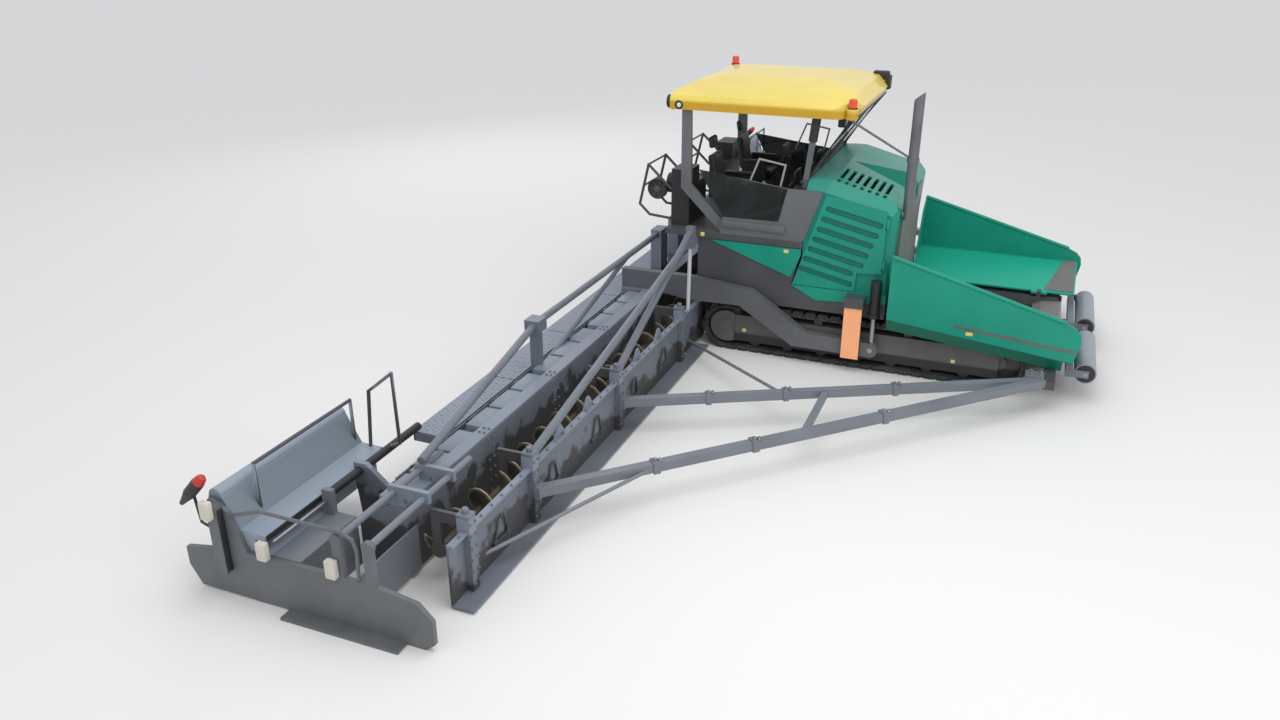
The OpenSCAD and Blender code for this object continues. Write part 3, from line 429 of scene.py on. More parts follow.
def rail_finish():
    """Dark rails behind the platform, and pale grips beside the seats."""
    material = finish("rail_paint", (0.052, 0.053, 0.057), shift=0.1, dust=0)
    tree = material.node_tree
    return tint(material, spread(tree, object_axes(tree)["X"], AXLE_X, AXLE_X + 0.01), (0.30, 0.295, 0.285))


def clear_glass(name, colour, alpha):
    material = bpy.data.materials.new(name)
    tree = node_tree(material)
    smear = spread(tree, cloud(tree, 3.0, 4.0), 0.3, 0.7)
    tone = mix_colour(tree, smear, colour, tuple(c * 0.85 for c in colour))
    shade = add(tree, "ShaderNodeBsdfPrincipled", {"Base Color": tone, "Alpha": alpha, "Roughness": 0.05})
    add(tree, "ShaderNodeOutputMaterial", {"Surface": shade.outputs["BSDF"]})
    return material


roof_paint, rail_paint = roof_finish(), rail_finish()
window = clear_glass("window_glass", (0.62, 0.69, 0.75), 0.48)
tinted = clear_glass("tinted_panel", (0.024, 0.029, 0.027), 0.88)
print("finishes:", len(bpy.data.materials))

# %% [markdown]
# Each solid gets one finish. That could be done by hand in the material tab. A list keeps every choice
# of paint in one place, and the loop stops with an error if a solid has none.

# %% Paint the solids
PAINTS = (
    (warm_grey, "chassis body_sides platform auger_supports"),
    (black, "seat_frames seat_pads console tow_rams"),
    (bare_steel, "conveyor tow_blocks sole_plates"),
    (slate, "push_beam screed_truss"),
    (wall_slate, "screed_center screed_wings"),
    (hopper_paint, "hopper_left hopper_right"),
    (door_paint, "hood_door_left hood_door_right"),
    (roller_paint, "push_roller_left push_roller_right"),
    (auger_steel, "auger_left auger_right"),
    (extension_paint, "ext_frame_left ext_frame_right"),
    (gate_slate, "end_gate_left end_gate_right"),
    (rubber, "tracks"), (frame_paint, "track_frames"), (cast, "engine"), (teal, "side_trim"), (hood_teal, "hood"),
    (stack_steel, "exhaust"), (panel_grey, "platform_sides"), (tinted, "side_panels"), (roof_paint, "roof"),
    (window, "windshield"), (rail_paint, "handrails"), (lamp_plastic, "lamps"), (wall_grey, "hopper_wall"),
    (guide_paint, "tow_guides"), (arm_grey, "tow_arms"), (shield_slate, "auger_shields"),
    (beam_slate, "push_braces"), (brace_paint, "upper_braces"), (deck_slate, "walkways"),
)
paint_of = {node: paint for paint, nodes in PAINTS for node in nodes.split()}
for name, solid in frame["nodes"].items():
    solid.data.materials.clear()
    solid.data.materials.append(paint_of[name])
print("painted", len(paint_of), "solids")

# %% [markdown]
# The added pieces are drawn with a handful of helpers. Cubes and curves with modifiers could do the same.
# Here each helper adds a shape to one bmesh, so a piece such as a set of levers is one mesh. A piece
# then gets its finish and the body it rides on.

# %% Helpers that draw shapes


def rounded_box(bm, low, high, edge):
    """A box between two corners with rounded edges."""
    size = Vector(high) - Vector(low)
    middle = (Vector(high) + Vector(low)) / 2
    made = bmesh.ops.create_cube(bm, size=1.0, matrix=Matrix.Translation(middle) @ Matrix.Diagonal((*size, 1)))
    edges = list({e for v in made["verts"] for e in v.link_edges})
    bmesh.ops.bevel(bm, geom=edges, offset=edge, segments=2, affect="EDGES", profile=0.5)


def side_box(bm, s, xs, ys, zs, edge=0.003):
    """A rounded box on side s, from its ranges of x, of distance outwards and of z."""
    near, far = sorted(s * y for y in ys)
    rounded_box(bm, at(xs[0], near, zs[0]), at(xs[1], far, zs[1]), edge)


def circle(sides):
    """The corners of a regular polygon of radius 1."""
    angles = [2 * math.pi * k / sides for k in range(sides)]
    return [(math.cos(angle), math.sin(angle)) for angle in angles]


# A ring in a slight bend is widened so that the tube keeps its girth. A sharp corner is left as it is.
SLIGHT = 1.15
# Faces that meet at a wider angle than this, in degrees, keep a sharp edge.
SHARP = 35


def tube(bm, points, radius, sides=12, closed=False):
    """A round tube through points, with closed ends unless it is a loop."""
    points = [Vector(p) for p in points]
    count = len(points)
    rings = []
    normal = None
    for i, point in enumerate(points):
        ahead = points[(i + 1) % count] if closed or i + 1 < count else point
        behind = points[i - 1] if closed or i else point
        along = (ahead - behind).normalized()
        if normal is None:
            normal = along.orthogonal().normalized()
        normal = (normal - along * normal.dot(along)).normalized()
        other = along.cross(normal)
        bend = 1.0
        if (closed or 0 < i < count - 1) and (ahead - point).length and (point - behind).length:
            half = (ahead - point).normalized().angle((point - behind).normalized()) / 2
            widened = 1 / max(0.2, math.cos(half))
            bend = widened if widened < SLIGHT else 1.0
        rings.append([bm.verts.new(point + (normal * c + other * t) * radius * bend) for c, t in circle(sides)])
    pairs = list(zip(rings, rings[1:])) + ([(rings[-1], rings[0])] if closed else [])
    for a, b in pairs:
        for k in range(sides):
            bm.faces.new((a[k], a[(k + 1) % sides], b[(k + 1) % sides], b[k]))
    if not closed:
        bm.faces.new(list(reversed(rings[0])))
        bm.faces.new(rings[-1])


def turned(bm, profile, origin, axis, sides=24):
    """A turned shape: (radius, height) pairs spun round an axis through origin."""
    turn = Vector((0, 0, 1)).rotation_difference(Vector(axis)).to_matrix()
    rings = []
    for radius, height in profile:
        if radius < 1e-6:
            rings.append([bm.verts.new(Vector(origin) + turn @ Vector((0, 0, height)))])
            continue
        spots = [Vector((radius * c, radius * t, height)) for c, t in circle(sides)]
        rings.append([bm.verts.new(Vector(origin) + turn @ spot) for spot in spots])
    for a, b in zip(rings, rings[1:]):
        for k in range(sides):
            n = (k + 1) % sides
            if len(a) == 1:
                bm.faces.new((a[0], b[n], b[k]))
            elif len(b) == 1:
                bm.faces.new((a[k], a[n], b[0]))
            else:
                bm.faces.new((a[k], a[n], b[n], b[k]))


def plate(bm, corners, thick):
    """A flat plate from its corners, given thickness along its own normal."""
    corners = [Vector(c) for c in corners]
    normal = (corners[1] - corners[0]).cross(corners[2] - corners[0]).normalized() * thick
    low = [bm.verts.new(c) for c in corners]
    high = [bm.verts.new(c + normal) for c in corners]
    bm.faces.new(list(reversed(low)))
    bm.faces.new(high)
    for i in range(len(corners)):
        n = (i + 1) % len(corners)
        bm.faces.new((low[i], low[n], high[n], high[i]))


def piece(name, bm, material, body):
    """Turns a bmesh into a finished piece that rides on a body."""
    bmesh.ops.recalc_face_normals(bm, faces=bm.faces)
    mesh = bpy.data.meshes.new(name)
    bm.to_mesh(mesh)
    bm.free()
    mesh.shade_smooth()
    mesh.set_sharp_from_angle(angle=math.radians(SHARP))
    mesh.materials.append(material)
    made = bpy.data.objects.new(name, mesh)
    scene.collection.objects.link(made)
    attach(made, body)
    print(name, len(mesh.polygons), "faces")


# %% [markdown]
# Bolts, tread lugs and chain links are the same little shape many times over. A Geometry Nodes tree
# puts one shape on every point of a mesh. The points carry two directions, where the shape faces and
# where it runs, so one tree serves a wall, a floor and a track.

# %% A tree that puts a shape on every point


def scatter_tree(name, sides):
    """Puts a low prism on every point; sides 4 gives a block, 6 a hexagon head."""
    tree = bpy.data.node_groups.new(name, "GeometryNodeTree")
    keys = {}
    kinds = {"Geometry": "Geometry", "Length": "Float", "Width": "Float", "Height": "Float", "Material": "Material"}
    for key, kind in kinds.items():
        socket = tree.interface.new_socket(name=key, in_out="INPUT", socket_type="NodeSocket" + kind)
        keys[key] = socket.identifier
    tree.interface.new_socket(name="Geometry", in_out="OUTPUT", socket_type="NodeSocketGeometry")
    given = tree.nodes.new("NodeGroupInput").outputs
    facing, along = (
        add(tree, "GeometryNodeInputNamedAttribute", {"Name": name}, data_type="FLOAT_VECTOR").outputs["Attribute"]
        for name in ("facing", "along"))
    align = "FunctionNodeAlignRotationToVector"
    up = add(tree, align, {"Vector": facing}, axis="Z").outputs["Rotation"]
    turn = add(tree, align, {"Rotation": up, "Vector": along}, axis="X", pivot_axis="Z").outputs["Rotation"]
    prism = {"Vertices": sides, "Radius Top": 0.42, "Radius Bottom": 0.5, "Depth": 1.0}
    head = add(tree, "GeometryNodeMeshCone", prism).outputs["Mesh"]
    wide = math.sqrt(2) if sides == 4 else 1
    spun = {"Geometry": head, "Rotation": (0, 0, math.pi / sides), "Scale": (wide, wide, 1)}
    shape = add(tree, "GeometryNodeTransform", spun).outputs["Geometry"]
    size = {"X": given["Length"], "Y": given["Width"], "Z": given["Height"]}
    scale = add(tree, "ShaderNodeCombineXYZ", size).outputs["Vector"]
    copies = {"Points": given["Geometry"], "Instance": shape, "Rotation": turn, "Scale": scale}
    many = add(tree, "GeometryNodeInstanceOnPoints", copies).outputs["Instances"]
    real = add(tree, "GeometryNodeRealizeInstances", {"Geometry": many}).outputs["Geometry"]
    paint = add(tree, "GeometryNodeSetMaterial", {"Geometry": real, "Material": given["Material"]})
    add(tree, "NodeGroupOutput", {"Geometry": paint.outputs["Geometry"]})
    return tree, keys


HEX = scatter_tree("hexagon_heads", 6)
LUG = scatter_tree("raised_lugs", 4)


def evaluated_mesh(thing):
    """The mesh of an object as its modifiers leave it."""
    return bpy.data.meshes.new_from_object(thing.evaluated_get(bpy.context.evaluated_depsgraph_get()))


def scatter(name, spots, tree_and_keys, size, material, body):
    """spots are (point, facing, along). The result is one plain mesh."""
    tree, keys = tree_and_keys
    mesh = bpy.data.meshes.new(name + "_points")
    mesh.from_pydata([s[0] for s in spots], [], [])
    for attribute, column in (("facing", 1), ("along", 2)):
        layer = mesh.attributes.new(attribute, "FLOAT_VECTOR", "POINT")
        layer.data.foreach_set("vector", [c for s in spots for c in Vector(s[column])])
    carrier = bpy.data.objects.new(name + "_points", mesh)
    scene.collection.objects.link(carrier)
    modifier = carrier.modifiers.new("scatter", "NODES")
    modifier.node_group = tree
    for key, value in zip(("Length", "Width", "Height", "Material"), (*size, material)):
        modifier[keys[key]] = value
    bpy.context.view_layer.update()
    solid = evaluated_mesh(carrier)
    solid.name = name
    made = bpy.data.objects.new(name, solid)
    scene.collection.objects.link(made)
    bpy.data.objects.remove(carrier)
    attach(made, body)
    print(name, len(spots), "spots", len(solid.polygons), "faces")


UP, RIGHT = (0, 0, 1), (0, -1, 0)
FORE, AFT = (1, 0, 0), (-1, 0, 0)


def even(start, stop, count):
    """count numbers from start to stop."""
    return [start + (stop - start) * i / (count - 1) for i in range(count)]


# %% [markdown]
# The auger shields and the screed are bolted together from short sections, so rows of bolts mark
# every joint. An Array modifier could set one row; the tree sets them all from one list of
# points. They sit on the face that they hold, their heads a hair inside it.

# %% Bolts on the fixed shields and on the screed
POST_Y = (2.3, 4.625, 6.95, 8.24)
WING_JOINTS = [1.75 + 6.53 / 4 * i for i in range(1, 4)]
shield_bolts, screed_bolts = [], []
for s in SIDES.values():
    for y in POST_Y:
        for z in even(0.14, 0.8, 6):
            for dy in (-0.042, 0.042):
                shield_bolts.append((at(-0.398, s * (y + dy), z), FORE, UP))
    for y in even(1.3, 8.4, 36):
        shield_bolts.append((at(-0.452, s * y, 0.722), UP, FORE))
    for y in WING_JOINTS:
        for z in even(0.14, 0.78, 6):
            for dy in (-0.05, 0.05):
                screed_bolts.append((at(-1.118, s * (y + dy), z), FORE, UP))
        for x in (-1.16, -1.22):
            for dy in (-0.05, 0.05):
                screed_bolts.append((at(x, s * (y + dy), 0.852), UP, FORE))
scatter("shield_bolts", shield_bolts, HEX, (0.03, 0.03, 0.018), slate, "tractor")
scatter("screed_bolts", screed_bolts, HEX, (0.03, 0.03, 0.018), slate, "screed")

# %% [markdown]
# The walkway is chequer plate: short raised bars, each row turned against the next, so that boots
# grip. A bump texture could draw them, but real bars catch the light at a low angle. The same tree
# makes them from a grid of points.

# %% Tread on the walkways
tread = []
for row, x in enumerate(even(-2.04, -1.73, 7)):
    for k in range(-96, 97):
        y = 0.07 * k + (0.035 if row % 2 else 0)
        if abs(y) < 6.68:
            run = (1, 1, 0) if (row + k) % 2 else (1, -1, 0)
            tread.append((at(x, y, 0.711), UP, run))
scatter("walkway_tread", tread, LUG, (0.042, 0.012, 0.003), deck_slate, "screed")

# %% [markdown]
# A track is a chain of forged links under rubber pads. The pads are in the solid. Here the chain's link
# plates are set along the same loop, each with the heads of its two pins. A Curve modifier could bend a
# straight chain, but points on the loop keep every link stiff.

# %% Track links and their pins
WHEELBASE, TRACK_R, PAD_T, PADS = 3.95, 0.37, 0.04, 54
BELT_R = TRACK_R - PAD_T
LOOP = 2 * WHEELBASE + 2 * math.pi * BELT_R


def loop_point(s, r):
    """Place and direction on the track loop, s along it and r out from its middle."""
    s = s % LOOP
    bend = math.pi * BELT_R
    if s < WHEELBASE:
        return s, TRACK_R - r, (1, 0)
    if s < WHEELBASE + bend:
        t = (s - WHEELBASE) / BELT_R
        return WHEELBASE + r * math.sin(t), TRACK_R - r * math.cos(t), (math.cos(t), math.sin(t))
    if s < 2 * WHEELBASE + bend:
        return 2 * WHEELBASE + bend - s, TRACK_R + r, (-1, 0)
    t = (s - 2 * WHEELBASE - bend) / BELT_R
    return -r * math.sin(t), TRACK_R + r * math.cos(t), (-math.cos(t), -math.sin(t))


links, pins = [], []
for s in SIDES.values():
    for i in range(PADS):
        x, z, run = loop_point((i + 0.47) * LOOP / PADS, BELT_R - 0.02)
        links.append((at(x, s * 1.503, z), (0, s, 0), (run[0], 0, run[1])))
        for along in (0.3, 0.64):
            x, z, run = loop_point((i + along) * LOOP / PADS, BELT_R - 0.02)
            pins.append((at(x, s * 1.508, z), (0, s, 0), (run[0], 0, run[1])))
scatter("track_links", links, LUG, (0.13, 0.036, 0.012), link_grey, "tractor")
scatter("link_pins", pins, HEX, (0.026, 0.026, 0.016), warm_grey, "tractor")

# %% [markdown]
# The windshield is a big clear pane in a black seal, with a bar down the middle and a wiper, and a
# thinner seal runs round the roof. Curves with a bevel could draw them. A loop of tube through a few
# points is a mesh at once, and so it joins with the bars in one piece.

# %% Window seal, wiper and roof edge
bm = bmesh.new()
pane = [at(1.042, 1.262, 2.70), at(1.628, 1.262, 3.548), at(1.628, -1.262, 3.548), at(1.042, -1.262, 2.70)]
tube(bm, pane, 0.032, sides=10, closed=True)
tube(bm, [at(1.048, 0, 2.70), at(1.636, 0, 3.548)], 0.014, sides=8)
tube(bm, [at(1.075, -0.5, 2.71), at(1.31, -0.78, 3.05)], 0.009, sides=8)
tube(bm, [at(1.20, -0.98, 2.89), at(1.45, -0.62, 3.25)], 0.012, sides=8)
piece("window_seal", bm, black, "tractor")

bm = bmesh.new()
edge = []
ROOF_CORNERS = ((1.15, 1.08, 0.3, 0), (-0.78, 1.3, 0.08, 90), (-0.78, -1.3, 0.08, 180), (1.15, -1.08, 0.3, 270))
for cx, cy, r, start in ROOF_CORNERS:
    for k in range(7):
        angle = math.radians(start + 15 * k)
        edge.append(at(cx + r * math.cos(angle), cy + r * math.sin(angle), ROOF_Z - 0.004))
tube(bm, edge, 0.016, sides=8, closed=True)
piece("roof_seal", bm, black, "tractor")

# %% [markdown]
# The two beacons are ribbed lenses on a black foot, and each floodlight has a black rim and a clear
# face. A Screw modifier could spin their profiles. The helper does it in one mesh for all lamps.

# %% Beacons and floodlights
BEACONS = ((-0.84, 1.32, ROOF_Z + 0.29), (1.635, -1.445, ROOF_Z + 0.15))
HEAD_LAMPS, REAR_LAMPS = (-1.08, -0.78, 0.78, 1.08), (1.22, -1.22)
BRACKET = ((-0.96, 0.02), (-1.0, 0.05), (-1.03, 0.025))
bm = bmesh.new()
for x, y, z in BEACONS:
    profile = [(0.0565, 0.012)]
    for k in range(9):
        profile += [(0.0575, 0.016 + 0.011 * k), (0.0562, 0.0215 + 0.011 * k)]
    profile += [(0.052, 0.122), (0.036, 0.132), (0, 0.136)]
    turned(bm, profile, at(x, y, z), UP)
piece("beacon_lenses", bm, lamp_plastic, "tractor")
bm = bmesh.new()
for x, y, z in BEACONS:
    turned(bm, [(0.056, -0.004), (0.068, -0.004), (0.068, 0.014), (0.056, 0.016)], at(x, y, z), UP)
for y in REAR_LAMPS:
    rim = [(0.078, 0), (0.094, 0), (0.096, 0.02), (0.088, 0.028), (0.078, 0.01)]
    turned(bm, rim, at(-1.045, y, ROOF_Z + 0.06), AFT)
    tube(bm, [at(x, y, ROOF_Z - drop) for x, drop in BRACKET], 0.012, sides=8)
rounded_box(bm, at(1.50, 0.80, ROOF_Z + 0.24), at(1.74, 0.94, ROOF_Z + 0.36), 0.02)
rounded_box(bm, at(1.70, 0.78, ROOF_Z + 0.10), at(1.77, 0.96, ROOF_Z + 0.30), 0.015)
for y in HEAD_LAMPS:
    rounded_box(bm, at(1.40, y - 0.09, ROOF_Z - 0.16), at(1.50, y + 0.09, ROOF_Z - 0.03), 0.015)
    tube(bm, [at(1.44, y, ROOF_Z - 0.04), at(1.44, y, ROOF_Z + 0.01)], 0.016, sides=8)
for s in SIDES.values():
    rim = [(0.034, 0.0), (0.060, 0.0), (0.062, 0.010), (0.050, 0.016), (0.034, 0.006)]
    turned(bm, rim, at(-0.81, s * 1.4995, ROOF_Z + 0.065), (0, s, 0))
for s in SIDES.values():
    tube(bm, [at(1.104, s * 1.33, 3.22), at(1.139, s * 1.33, 3.55)], 0.062, sides=20)
piece("lamp_feet", bm, black, "tractor")
bm = bmesh.new()
for y in REAR_LAMPS:
    turned(bm, [(0.08, 0.002), (0.06, 0.011), (0.03, 0.016), (0, 0.018)], at(-1.05, y, ROOF_Z + 0.06), AFT)
for y in HEAD_LAMPS:
    rounded_box(bm, at(1.496, y - 0.075, ROOF_Z - 0.145), at(1.506, y + 0.075, ROOF_Z - 0.045), 0.004)
for s in SIDES.values():
    turned(bm, [(0.036, 0.002), (0.028, 0.010), (0, 0.013)], at(-0.81, s * 1.4995, ROOF_Z + 0.065), (0, s, 0))
piece("floodlight_glass", bm, clear_glass("lamp_glass", (0.75, 0.78, 0.8), 0.9), "tractor")

# %% [markdown]
# A dark stripe is painted along each hopper half, and each push roller ends in a black disc. The stripe
# could be one more mask in the paint. A plate 2.5 mm thick keeps it sharp, and it folds with its half.
# The discs are turned shapes that spin with their roller.

# %% Hopper stripes and roller ends
stripe_grey = finish("stripe_grey", (0.100, 0.135, 0.112), shift=0.1)
for side, s in SIDES.items():
    bm = bmesh.new()
    y = s * 1.7752
    corners = [at(3.30, y, 0.938), at(4.87, y, 0.782), at(4.87, y, 0.836), at(3.30, y, 0.980)]
    plate(bm, corners if s < 0 else corners[::-1], 0.0025)
    piece("hopper_stripe_" + side, bm, stripe_grey, f"hopper_{side}_half")
    bm = bmesh.new()
    for y, face in ((s * 0.2545, (0, -s, 0)), (s * 1.5655, (0, s, 0))):
        turned(bm, [(0, 0.004), (0.05, 0.004), (0.05, 0.006), (0.118, 0.006), (0.124, 0.002), (0.124, -0.004)],
               at(5.05, y, 0.45), face)
    piece("roller_ends_" + side, bm, black, f"roller_{side}")

# %% [markdown]
# A rubber mat lies on the sloping floor at the mouth of each half. It could be a cloth that is dropped
# there. It lies flat, so a plate with four corners is enough, and the floor's slope sets their heights.

# %% Rubber mats at the hopper's mouth
for side, s in SIDES.items():
    bm = bmesh.new()
    mat = []
    for x, y in ((4.42, 0.90), (4.84, 0.90), (4.84, 1.72), (4.66, 1.72)):
        mat.append(at(x, s * y, 0.737 + (y - 0.86) * FLOOR_SLOPE))
    plate(bm, mat if s > 0 else mat[::-1], 0.008)
    piece("hopper_mat_" + side, bm, mat_grey, f"hopper_{side}_half")

# %% [markdown]
# Small yellow labels sit on the machine's sides, a sill runs below the tinted panel, and bright bolts
# hold the clamps of the long braces. Labels could be drawn in the paint, but small plates show an edge.
# The bolts use the tree again, with points along the line of each brace.

# %% Yellow markers, the sill below the tinted panel and the braces' bright bolts
marker = finish("yellow_marker", (0.80, 0.60, 0.16), rough=0.45, shift=0.06, dust=0)


def stick(bm, s, x, y, z, wide, tall, deep=0.006):
    """A small plate that sits on a face looking to side s."""
    side_box(bm, s, (x - wide / 2, x + wide / 2), (y, y + deep), (z - tall / 2, z + tall / 2), 0.002)


bm, sill = bmesh.new(), bmesh.new()
for side, s in SIDES.items():
    stick(bm, s, -0.41, 1.498, 1.77, 0.06, 0.06)
    stick(bm, s, 0.86, 1.495, 1.65, 0.07, 0.05)
    stick(bm, s, 0.28, 1.4595, 0.33, 0.06, 0.05)
    stick(bm, s, 3.34, 1.4595, 0.312, 0.06, 0.05)
    stick(sill, s, 0.36, 1.495, 1.965, 0.92, 0.10, 0.022)
    label = bmesh.new()
    stick(label, s, 3.52, 1.7745, 0.872, 0.09, 0.05, 0.003)
    piece("hopper_marker_" + side, label, marker, f"hopper_{side}_half")
piece("platform_markers", bm, marker, "tractor")
piece("platform_sills", sill, panel_grey, "tractor")

BEAM_FRONT = Vector((4.550, 2.0, 0.435))
brace_bolts = []
for s in SIDES.values():
    for y in POST_Y[1:3]:
        end = Vector((-0.37, y, 0.435))
        for t in (0.366, 0.626, 0.806):
            spot = BEAM_FRONT.lerp(end, t)
            brace_bolts.append((at(spot.x, s * spot.y, spot.z + 0.072), UP, FORE))
            brace_bolts.append((at(spot.x + 0.050, s * (spot.y - 0.02), spot.z + 0.071), UP, FORE))
    for dx in (-0.21, -0.33):
        for dy in (-0.07, 0.03):
            brace_bolts.append((at(4.700 + dx, s * (1.95 + dy), 0.514), UP, FORE))
scatter("brace_bolts", brace_bolts, HEX, (0.05, 0.05, 0.03), bare_steel, "tractor")

# %% [markdown]
# A small reel for a cable hangs behind the platform. A cylinder with extruded rims would do. One
# profile spun round the axle gives drum and rims together, and six thin tubes are the spokes.

# %% The cable reel behind the platform
bm, hub = bmesh.new(), bmesh.new()
REEL = at(-1.235, -1.205, 2.31)
RIM = ((0.13, 0.022), (0.142, 0.030), (0.155, 0.024))
turned(bm, [(0, -0.022), *((r, -h) for r, h in RIM), *reversed(RIM), (0, 0.022)], REEL, RIGHT, 36)
tube(bm, [REEL + Vector((0, 0.02, 0)), at(-1.235, -1.13, 2.31), at(-0.984, -1.13, 2.31)], 0.022)
for k in range(6):
    angle = math.pi * k / 3
    spoke = Vector((math.cos(angle), 0, math.sin(angle)))
    face = REEL + Vector((0, -0.024, 0))
    tube(hub, [face + spoke * 0.045, face + spoke * 0.128], 0.007, sides=8)
turned(hub, [(0, 0.020), (0.05, 0.020), (0.05, 0.030), (0.03, 0.036), (0, 0.037)], REEL, RIGHT)
piece("cable_reel", bm, black, "tractor")
piece("reel_hub", hub, warm_grey, "tractor")

# %% [markdown]
# Each section of the shields is carried by an eye of bent bar on two small blocks. A closed tube through
# four points is the bar. A loop over the sections was chosen over a modifier because they are uneven.

# %% Lifting eyes on the shields
EYE = ((-0.460, -0.13, 0.25), (-0.452, -0.05, 0.50), (-0.452, 0.05, 0.50), (-0.460, 0.13, 0.25))
bm = bmesh.new()
for s in SIDES.values():
    for y in (2.97, 4.06, 5.26, 6.46, 7.63):
        tube(bm, [at(x, s * (y + dy), z) for x, dy, z in EYE], 0.014, sides=8, closed=True)
        for dy in (-0.13, 0.13):
            rounded_box(bm, at(-0.476, s * (y + dy) - 0.025, 0.22), at(-0.446, s * (y + dy) + 0.025, 0.28), 0.004)
piece("shield_eyes", bm, warm_grey, "tractor")

# %% [markdown]
# Each end gate carries cream control boxes and a leaning black sensor with a red cap, and the deck beside
# it has rails and the tube that it slides on. They could be modelled by hand. Drawn in a loop over
# both sides they match exactly, and they ride on the end unit so that they slide with it.

# %% Boxes on the end gates, black sensors and guide tubes
MAST_X, OUT_Y = -2.59, HALF_PAVE + 0.085
LEAN = math.radians(43)
SEAM = 0.395
SENSOR = ((0.0, 0.0), (0.0235, 0.0), (0.0395, 0.09), (0.0615, 0.19), (0.0615, 0.38), (0.0585, SEAM))
STAY = ((0.062, 0.7665), (0.185, 0.805), (0.22, 1.09))
CAP = ((0.0585, SEAM), (0.0495, 0.45), (0.0315, 0.481), (0.0, 0.487))
for side, s in SIDES.items():
    body = f"extension_{side}"
    bm = bmesh.new()
    for x, y, z in ((-2.09, 0.052, 0.555), (-1.31, 0.052, 0.565), (-2.605, 0.132, 0.92)):
        y += HALF_PAVE
        side_box(bm, s, (x - 0.055, x + 0.055), (y, y + 0.07), (z, z + 0.19), 0.012)
    piece("gate_boxes_" + side, bm, cream, body)
    foot = at(MAST_X - 0.395, s * OUT_Y, 0.965)
    axis = (math.sin(LEAN), 0, math.cos(LEAN))
    bm = bmesh.new()
    turned(bm, (*SENSOR, (0.0, SEAM)), foot, axis)
    tube(bm, [at(MAST_X - dx, s * OUT_Y, z) for dx, z in STAY], 0.0145)
    tube(bm, [at(-2.02, s * 6.6985, 0.775), at(-2.02, s * 8.258, 0.775)], 0.0457, sides=24)
    # A black strip on the bench's front edge: partly its seal, partly the shadow under the edge, painted.
    side_box(bm, s, (-2.112, -2.098), (7.235, 9.095), (0.694, 0.753))
    side_box(bm, s, (-2.534, -2.522), (9.152, 9.222), (0.32, 1.0))
    piece("sensor_body_" + side, bm, black, body)
    bm = bmesh.new()
    turned(bm, ((0.0, SEAM), *CAP), foot, axis)
    piece("sensor_cap_" + side, bm, red, body)
    bm = bmesh.new()
    grip = [(-2.262, 0.735), (-2.204, 1.425), (-1.886, 1.688), (-1.872, 0.862), (-2.130, 0.732)]
    tube(bm, [at(x, s * 7.26, z) for x, z in grip], 0.0196)
    tube(bm, [at(-2.44, s * y, z) for y, z in ((7.29, 0.80), (7.29, 1.29), (8.77, 1.29), (8.77, 0.80))], 0.0206)
    piece("deck_rails_" + side, bm, warm_grey, body)
    bm = bmesh.new()
    tube(bm, [at(-2.035, s * 8.325, 0.705), at(-2.035, s * 9.098, 0.705)], 0.018)
    piece("slide_rod_" + side, bm, bare_steel, body)

# %% [markdown]
# The open back of each screed section is closed by a sloping sheet that lies on the ribs, with flat
# lids behind the front wall. Pipes and boxes of the heating lie on the sheet, half hidden by the
# walkway. An Array modifier could repeat one section, but a loop lets each fit its own bay.

# %% Covers and heating lines on the screed, heads on the posts
BAYS = [1.75, *WING_JOINTS, HALF_PAVE - 0.82]
covers, lines, lids = bmesh.new(), bmesh.new(), bmesh.new()
for s in SIDES.values():
    for y0, y1 in zip(BAYS, BAYS[1:]):
        sheet = [at(x, s * y, z) for x, y, z in ((-1.276, y0 + 0.03, 0.8235), (-1.276, y1 - 0.03, 0.8235),
                                                 (-1.648, y1 - 0.03, 0.6045), (-1.648, y0 + 0.03, 0.6045))]
        plate(covers, sheet if s < 0 else sheet[::-1], -0.006)
        reach = (y1 - y0 - 0.24) / 3
        for k in range(3):
            start = y0 + 0.07 + k * (reach + 0.05)
            side_box(lids, s, (-1.47, -1.276), (start, start + reach), (0.70, 0.846), 0.006)
            middle = s * (start + 0.1)
            rounded_box(lines, at(-1.60, middle - 0.06, 0.62), at(-1.50, middle + 0.06, 0.75), 0.010)
            tube(lines, [at(-1.55, s * (start + 0.3), 0.66), at(-1.55, s * (start + 0.3), 0.80)], 0.013, sides=10)
    for x, z in ((-1.55, 0.684), (-1.60, 0.655), (-1.635, 0.640)):
        tube(lines, [at(x, s * 1.76, z), at(x, s * 7.66, z)], 0.015, sides=10)
    side_box(covers, s, (-1.679, -1.660), (1.76, 7.66), (0.598, 0.692))
    side_box(covers, s, (-2.078, -1.69), (6.702, 6.72), (0.585, 0.6745), 0.004)
piece("screed_covers", covers, slate, "screed")
piece("screed_lids", lids, deck_slate, "screed")
piece("heating_lines", lines, black, "screed")
bm = bmesh.new()
for s in SIDES.values():
    for y in POST_Y:
        rounded_box(bm, at(-0.545, s * y - 0.066, 0.855), at(-0.394, s * y + 0.066, 0.898), 0.014)
        turned(bm, [(0.036, 0), (0.036, 0.045), (0.028, 0.055), (0, 0.056)], at(-0.47, s * y, 0.895), UP, 20)
piece("post_heads", bm, slate, "tractor")

# %% [markdown]
# Two seats stand at the platform's edges, each with a base cushion, a back and a head rest. They could
# be sculpted. Here they start as slightly small blocks, are remeshed, and a short cloth run with pressure
# inside swells them as foam under a cover does. The second seat is a copy of the first.

# %% Seat cushions by cloth pressure
SEAT_Y, RISE = 0.72, 0.012
cover = finish("seat_cover", (0.022, 0.022, 0.024), rough=0.55, shift=0.2, grain=260, bump=0.25, dust=0)


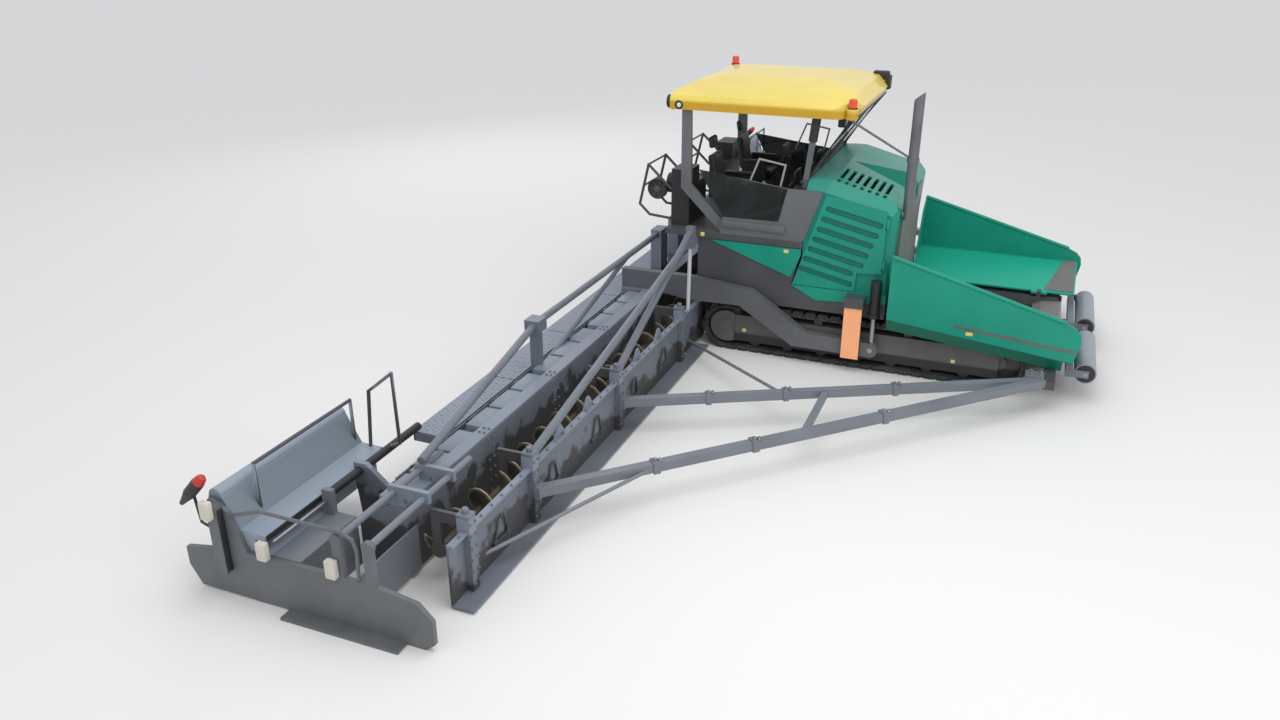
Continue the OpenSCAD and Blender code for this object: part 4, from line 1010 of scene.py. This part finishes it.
def swell(name, low, high, lean):
    """A soft pad between two corners, leaning back by an angle about its foot."""
    bm = bmesh.new()
    rounded_box(bm, low, high, 0.03)
    mesh = bpy.data.meshes.new(name)
    bm.to_mesh(mesh)
    bm.free()
    pad = bpy.data.objects.new(name, mesh)
    scene.collection.objects.link(pad)
    remesh = pad.modifiers.new("remesh", "REMESH")
    remesh.mode = "VOXEL"
    remesh.voxel_size = 0.014
    bpy.context.view_layer.update()
    fine = evaluated_mesh(pad)
    pad.modifiers.clear()
    pad.data = fine
    start = [v.co.copy() for v in fine.vertices]
    cloth = pad.modifiers.new("cloth", "CLOTH")
    cloth.settings.use_pressure = True
    cloth.settings.uniform_pressure_force = 4
    cloth.settings.effector_weights.gravity = 0
    for step in range(1, 15):
        scene.frame_set(step)
    swollen = evaluated_mesh(pad)
    pad.modifiers.clear()
    pad.data = swollen
    scene.frame_set(1)
    for vertex, rest in zip(swollen.vertices, start):
        move = vertex.co - rest
        vertex.co = rest + move * min(1.0, RISE / max(move.length, 1e-6))
    turn = Matrix.Translation(lean[0]) @ Matrix.Rotation(lean[1], 4, "Y") @ Matrix.Translation(-Vector(lean[0]))
    pad.data.transform(turn)
    pad.data.shade_smooth()
    return pad.data


def seat_set(y):
    foot = at(-0.40, y, FLOOR_Z + 0.48)
    flat = (Vector((0, 0, 0)), 0.0)
    back = (foot, math.radians(-10))
    sx, sz = AXLE_X - 0.2, FLOOR_Z
    return {
        "base": swell("base", (sx - 0.20, y - 0.225, sz + 0.412), (sx + 0.275, y + 0.225, sz + 0.508), flat),
        "back": swell("back", (sx - 0.258, y - 0.215, sz + 0.50), (sx - 0.162, y + 0.215, sz + 1.03), back),
        "head": swell("head", (sx - 0.248, y - 0.135, sz + 1.10), (sx - 0.172, y + 0.135, sz + 1.27), back),
    }


cushions = seat_set(SEAT_Y)
for o in [o for o in scene.objects if o.name in cushions]:
    bpy.data.objects.remove(o)
for side, s in SIDES.items():
    for part, mesh in cushions.items():
        own = mesh.copy()
        own.transform(Matrix.Translation((0, (s - 1) * SEAT_Y, 0)))
        own.materials.clear()
        own.materials.append(cover)
        pad = bpy.data.objects.new(f"seat_{part}_{side}", own)
        scene.collection.objects.link(pad)
        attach(pad, "tractor")
        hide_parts("seat_pads")
print("cushions:", len(cushions) * 2)

# %% [markdown]
# Behind the windshield stand the controls: two upright screens and two rows of levers with knobs. The
# seats have arm rests. A dark texture could pass for them from afar, but they are seen through the open
# sides, so they are simple but real shapes.

# %% Controls on the platform
KNOB = ((0, 0), (0.014, 0.004), (0.017, 0.018), (0.010, 0.03), (0, 0.032))
bm = bmesh.new()
for y in (-SEAT_Y, SEAT_Y):
    rounded_box(bm, at(0.76, y - 0.16, FLOOR_Z + 0.66), at(0.80, y + 0.16, FLOOR_Z + 0.86), 0.01)
    tube(bm, [at(0.80, y, FLOOR_Z + 0.58), at(0.80, y, FLOOR_Z + 0.68)], 0.018, sides=10)
    for k in range(5):
        foot = at(0.79, y - 0.45 + 0.06 * k, FLOOR_Z + 0.60)
        tube(bm, [foot, foot + Vector((-0.02, 0, 0.10))], 0.007, sides=8)
        turned(bm, KNOB, foot + Vector((-0.02, 0, 0.095)), UP, 12)
    for dy in (-0.275, 0.275):
        rounded_box(bm, at(-0.40, y + dy - 0.04, FLOOR_Z + 0.642), at(0.02, y + dy + 0.04, FLOOR_Z + 0.69), 0.018)
piece("controls", bm, black, "tractor")
screen_glow = finish("screen_face", (0.05, 0.07, 0.085), rough=0.15, shift=0.2, dust=0)
bm = bmesh.new()
for y in (-SEAT_Y, SEAT_Y):
    rounded_box(bm, at(0.7585, y - 0.14, FLOOR_Z + 0.68), at(0.7615, y + 0.14, FLOOR_Z + 0.84), 0.001)
piece("screens", bm, screen_glow, "tractor")
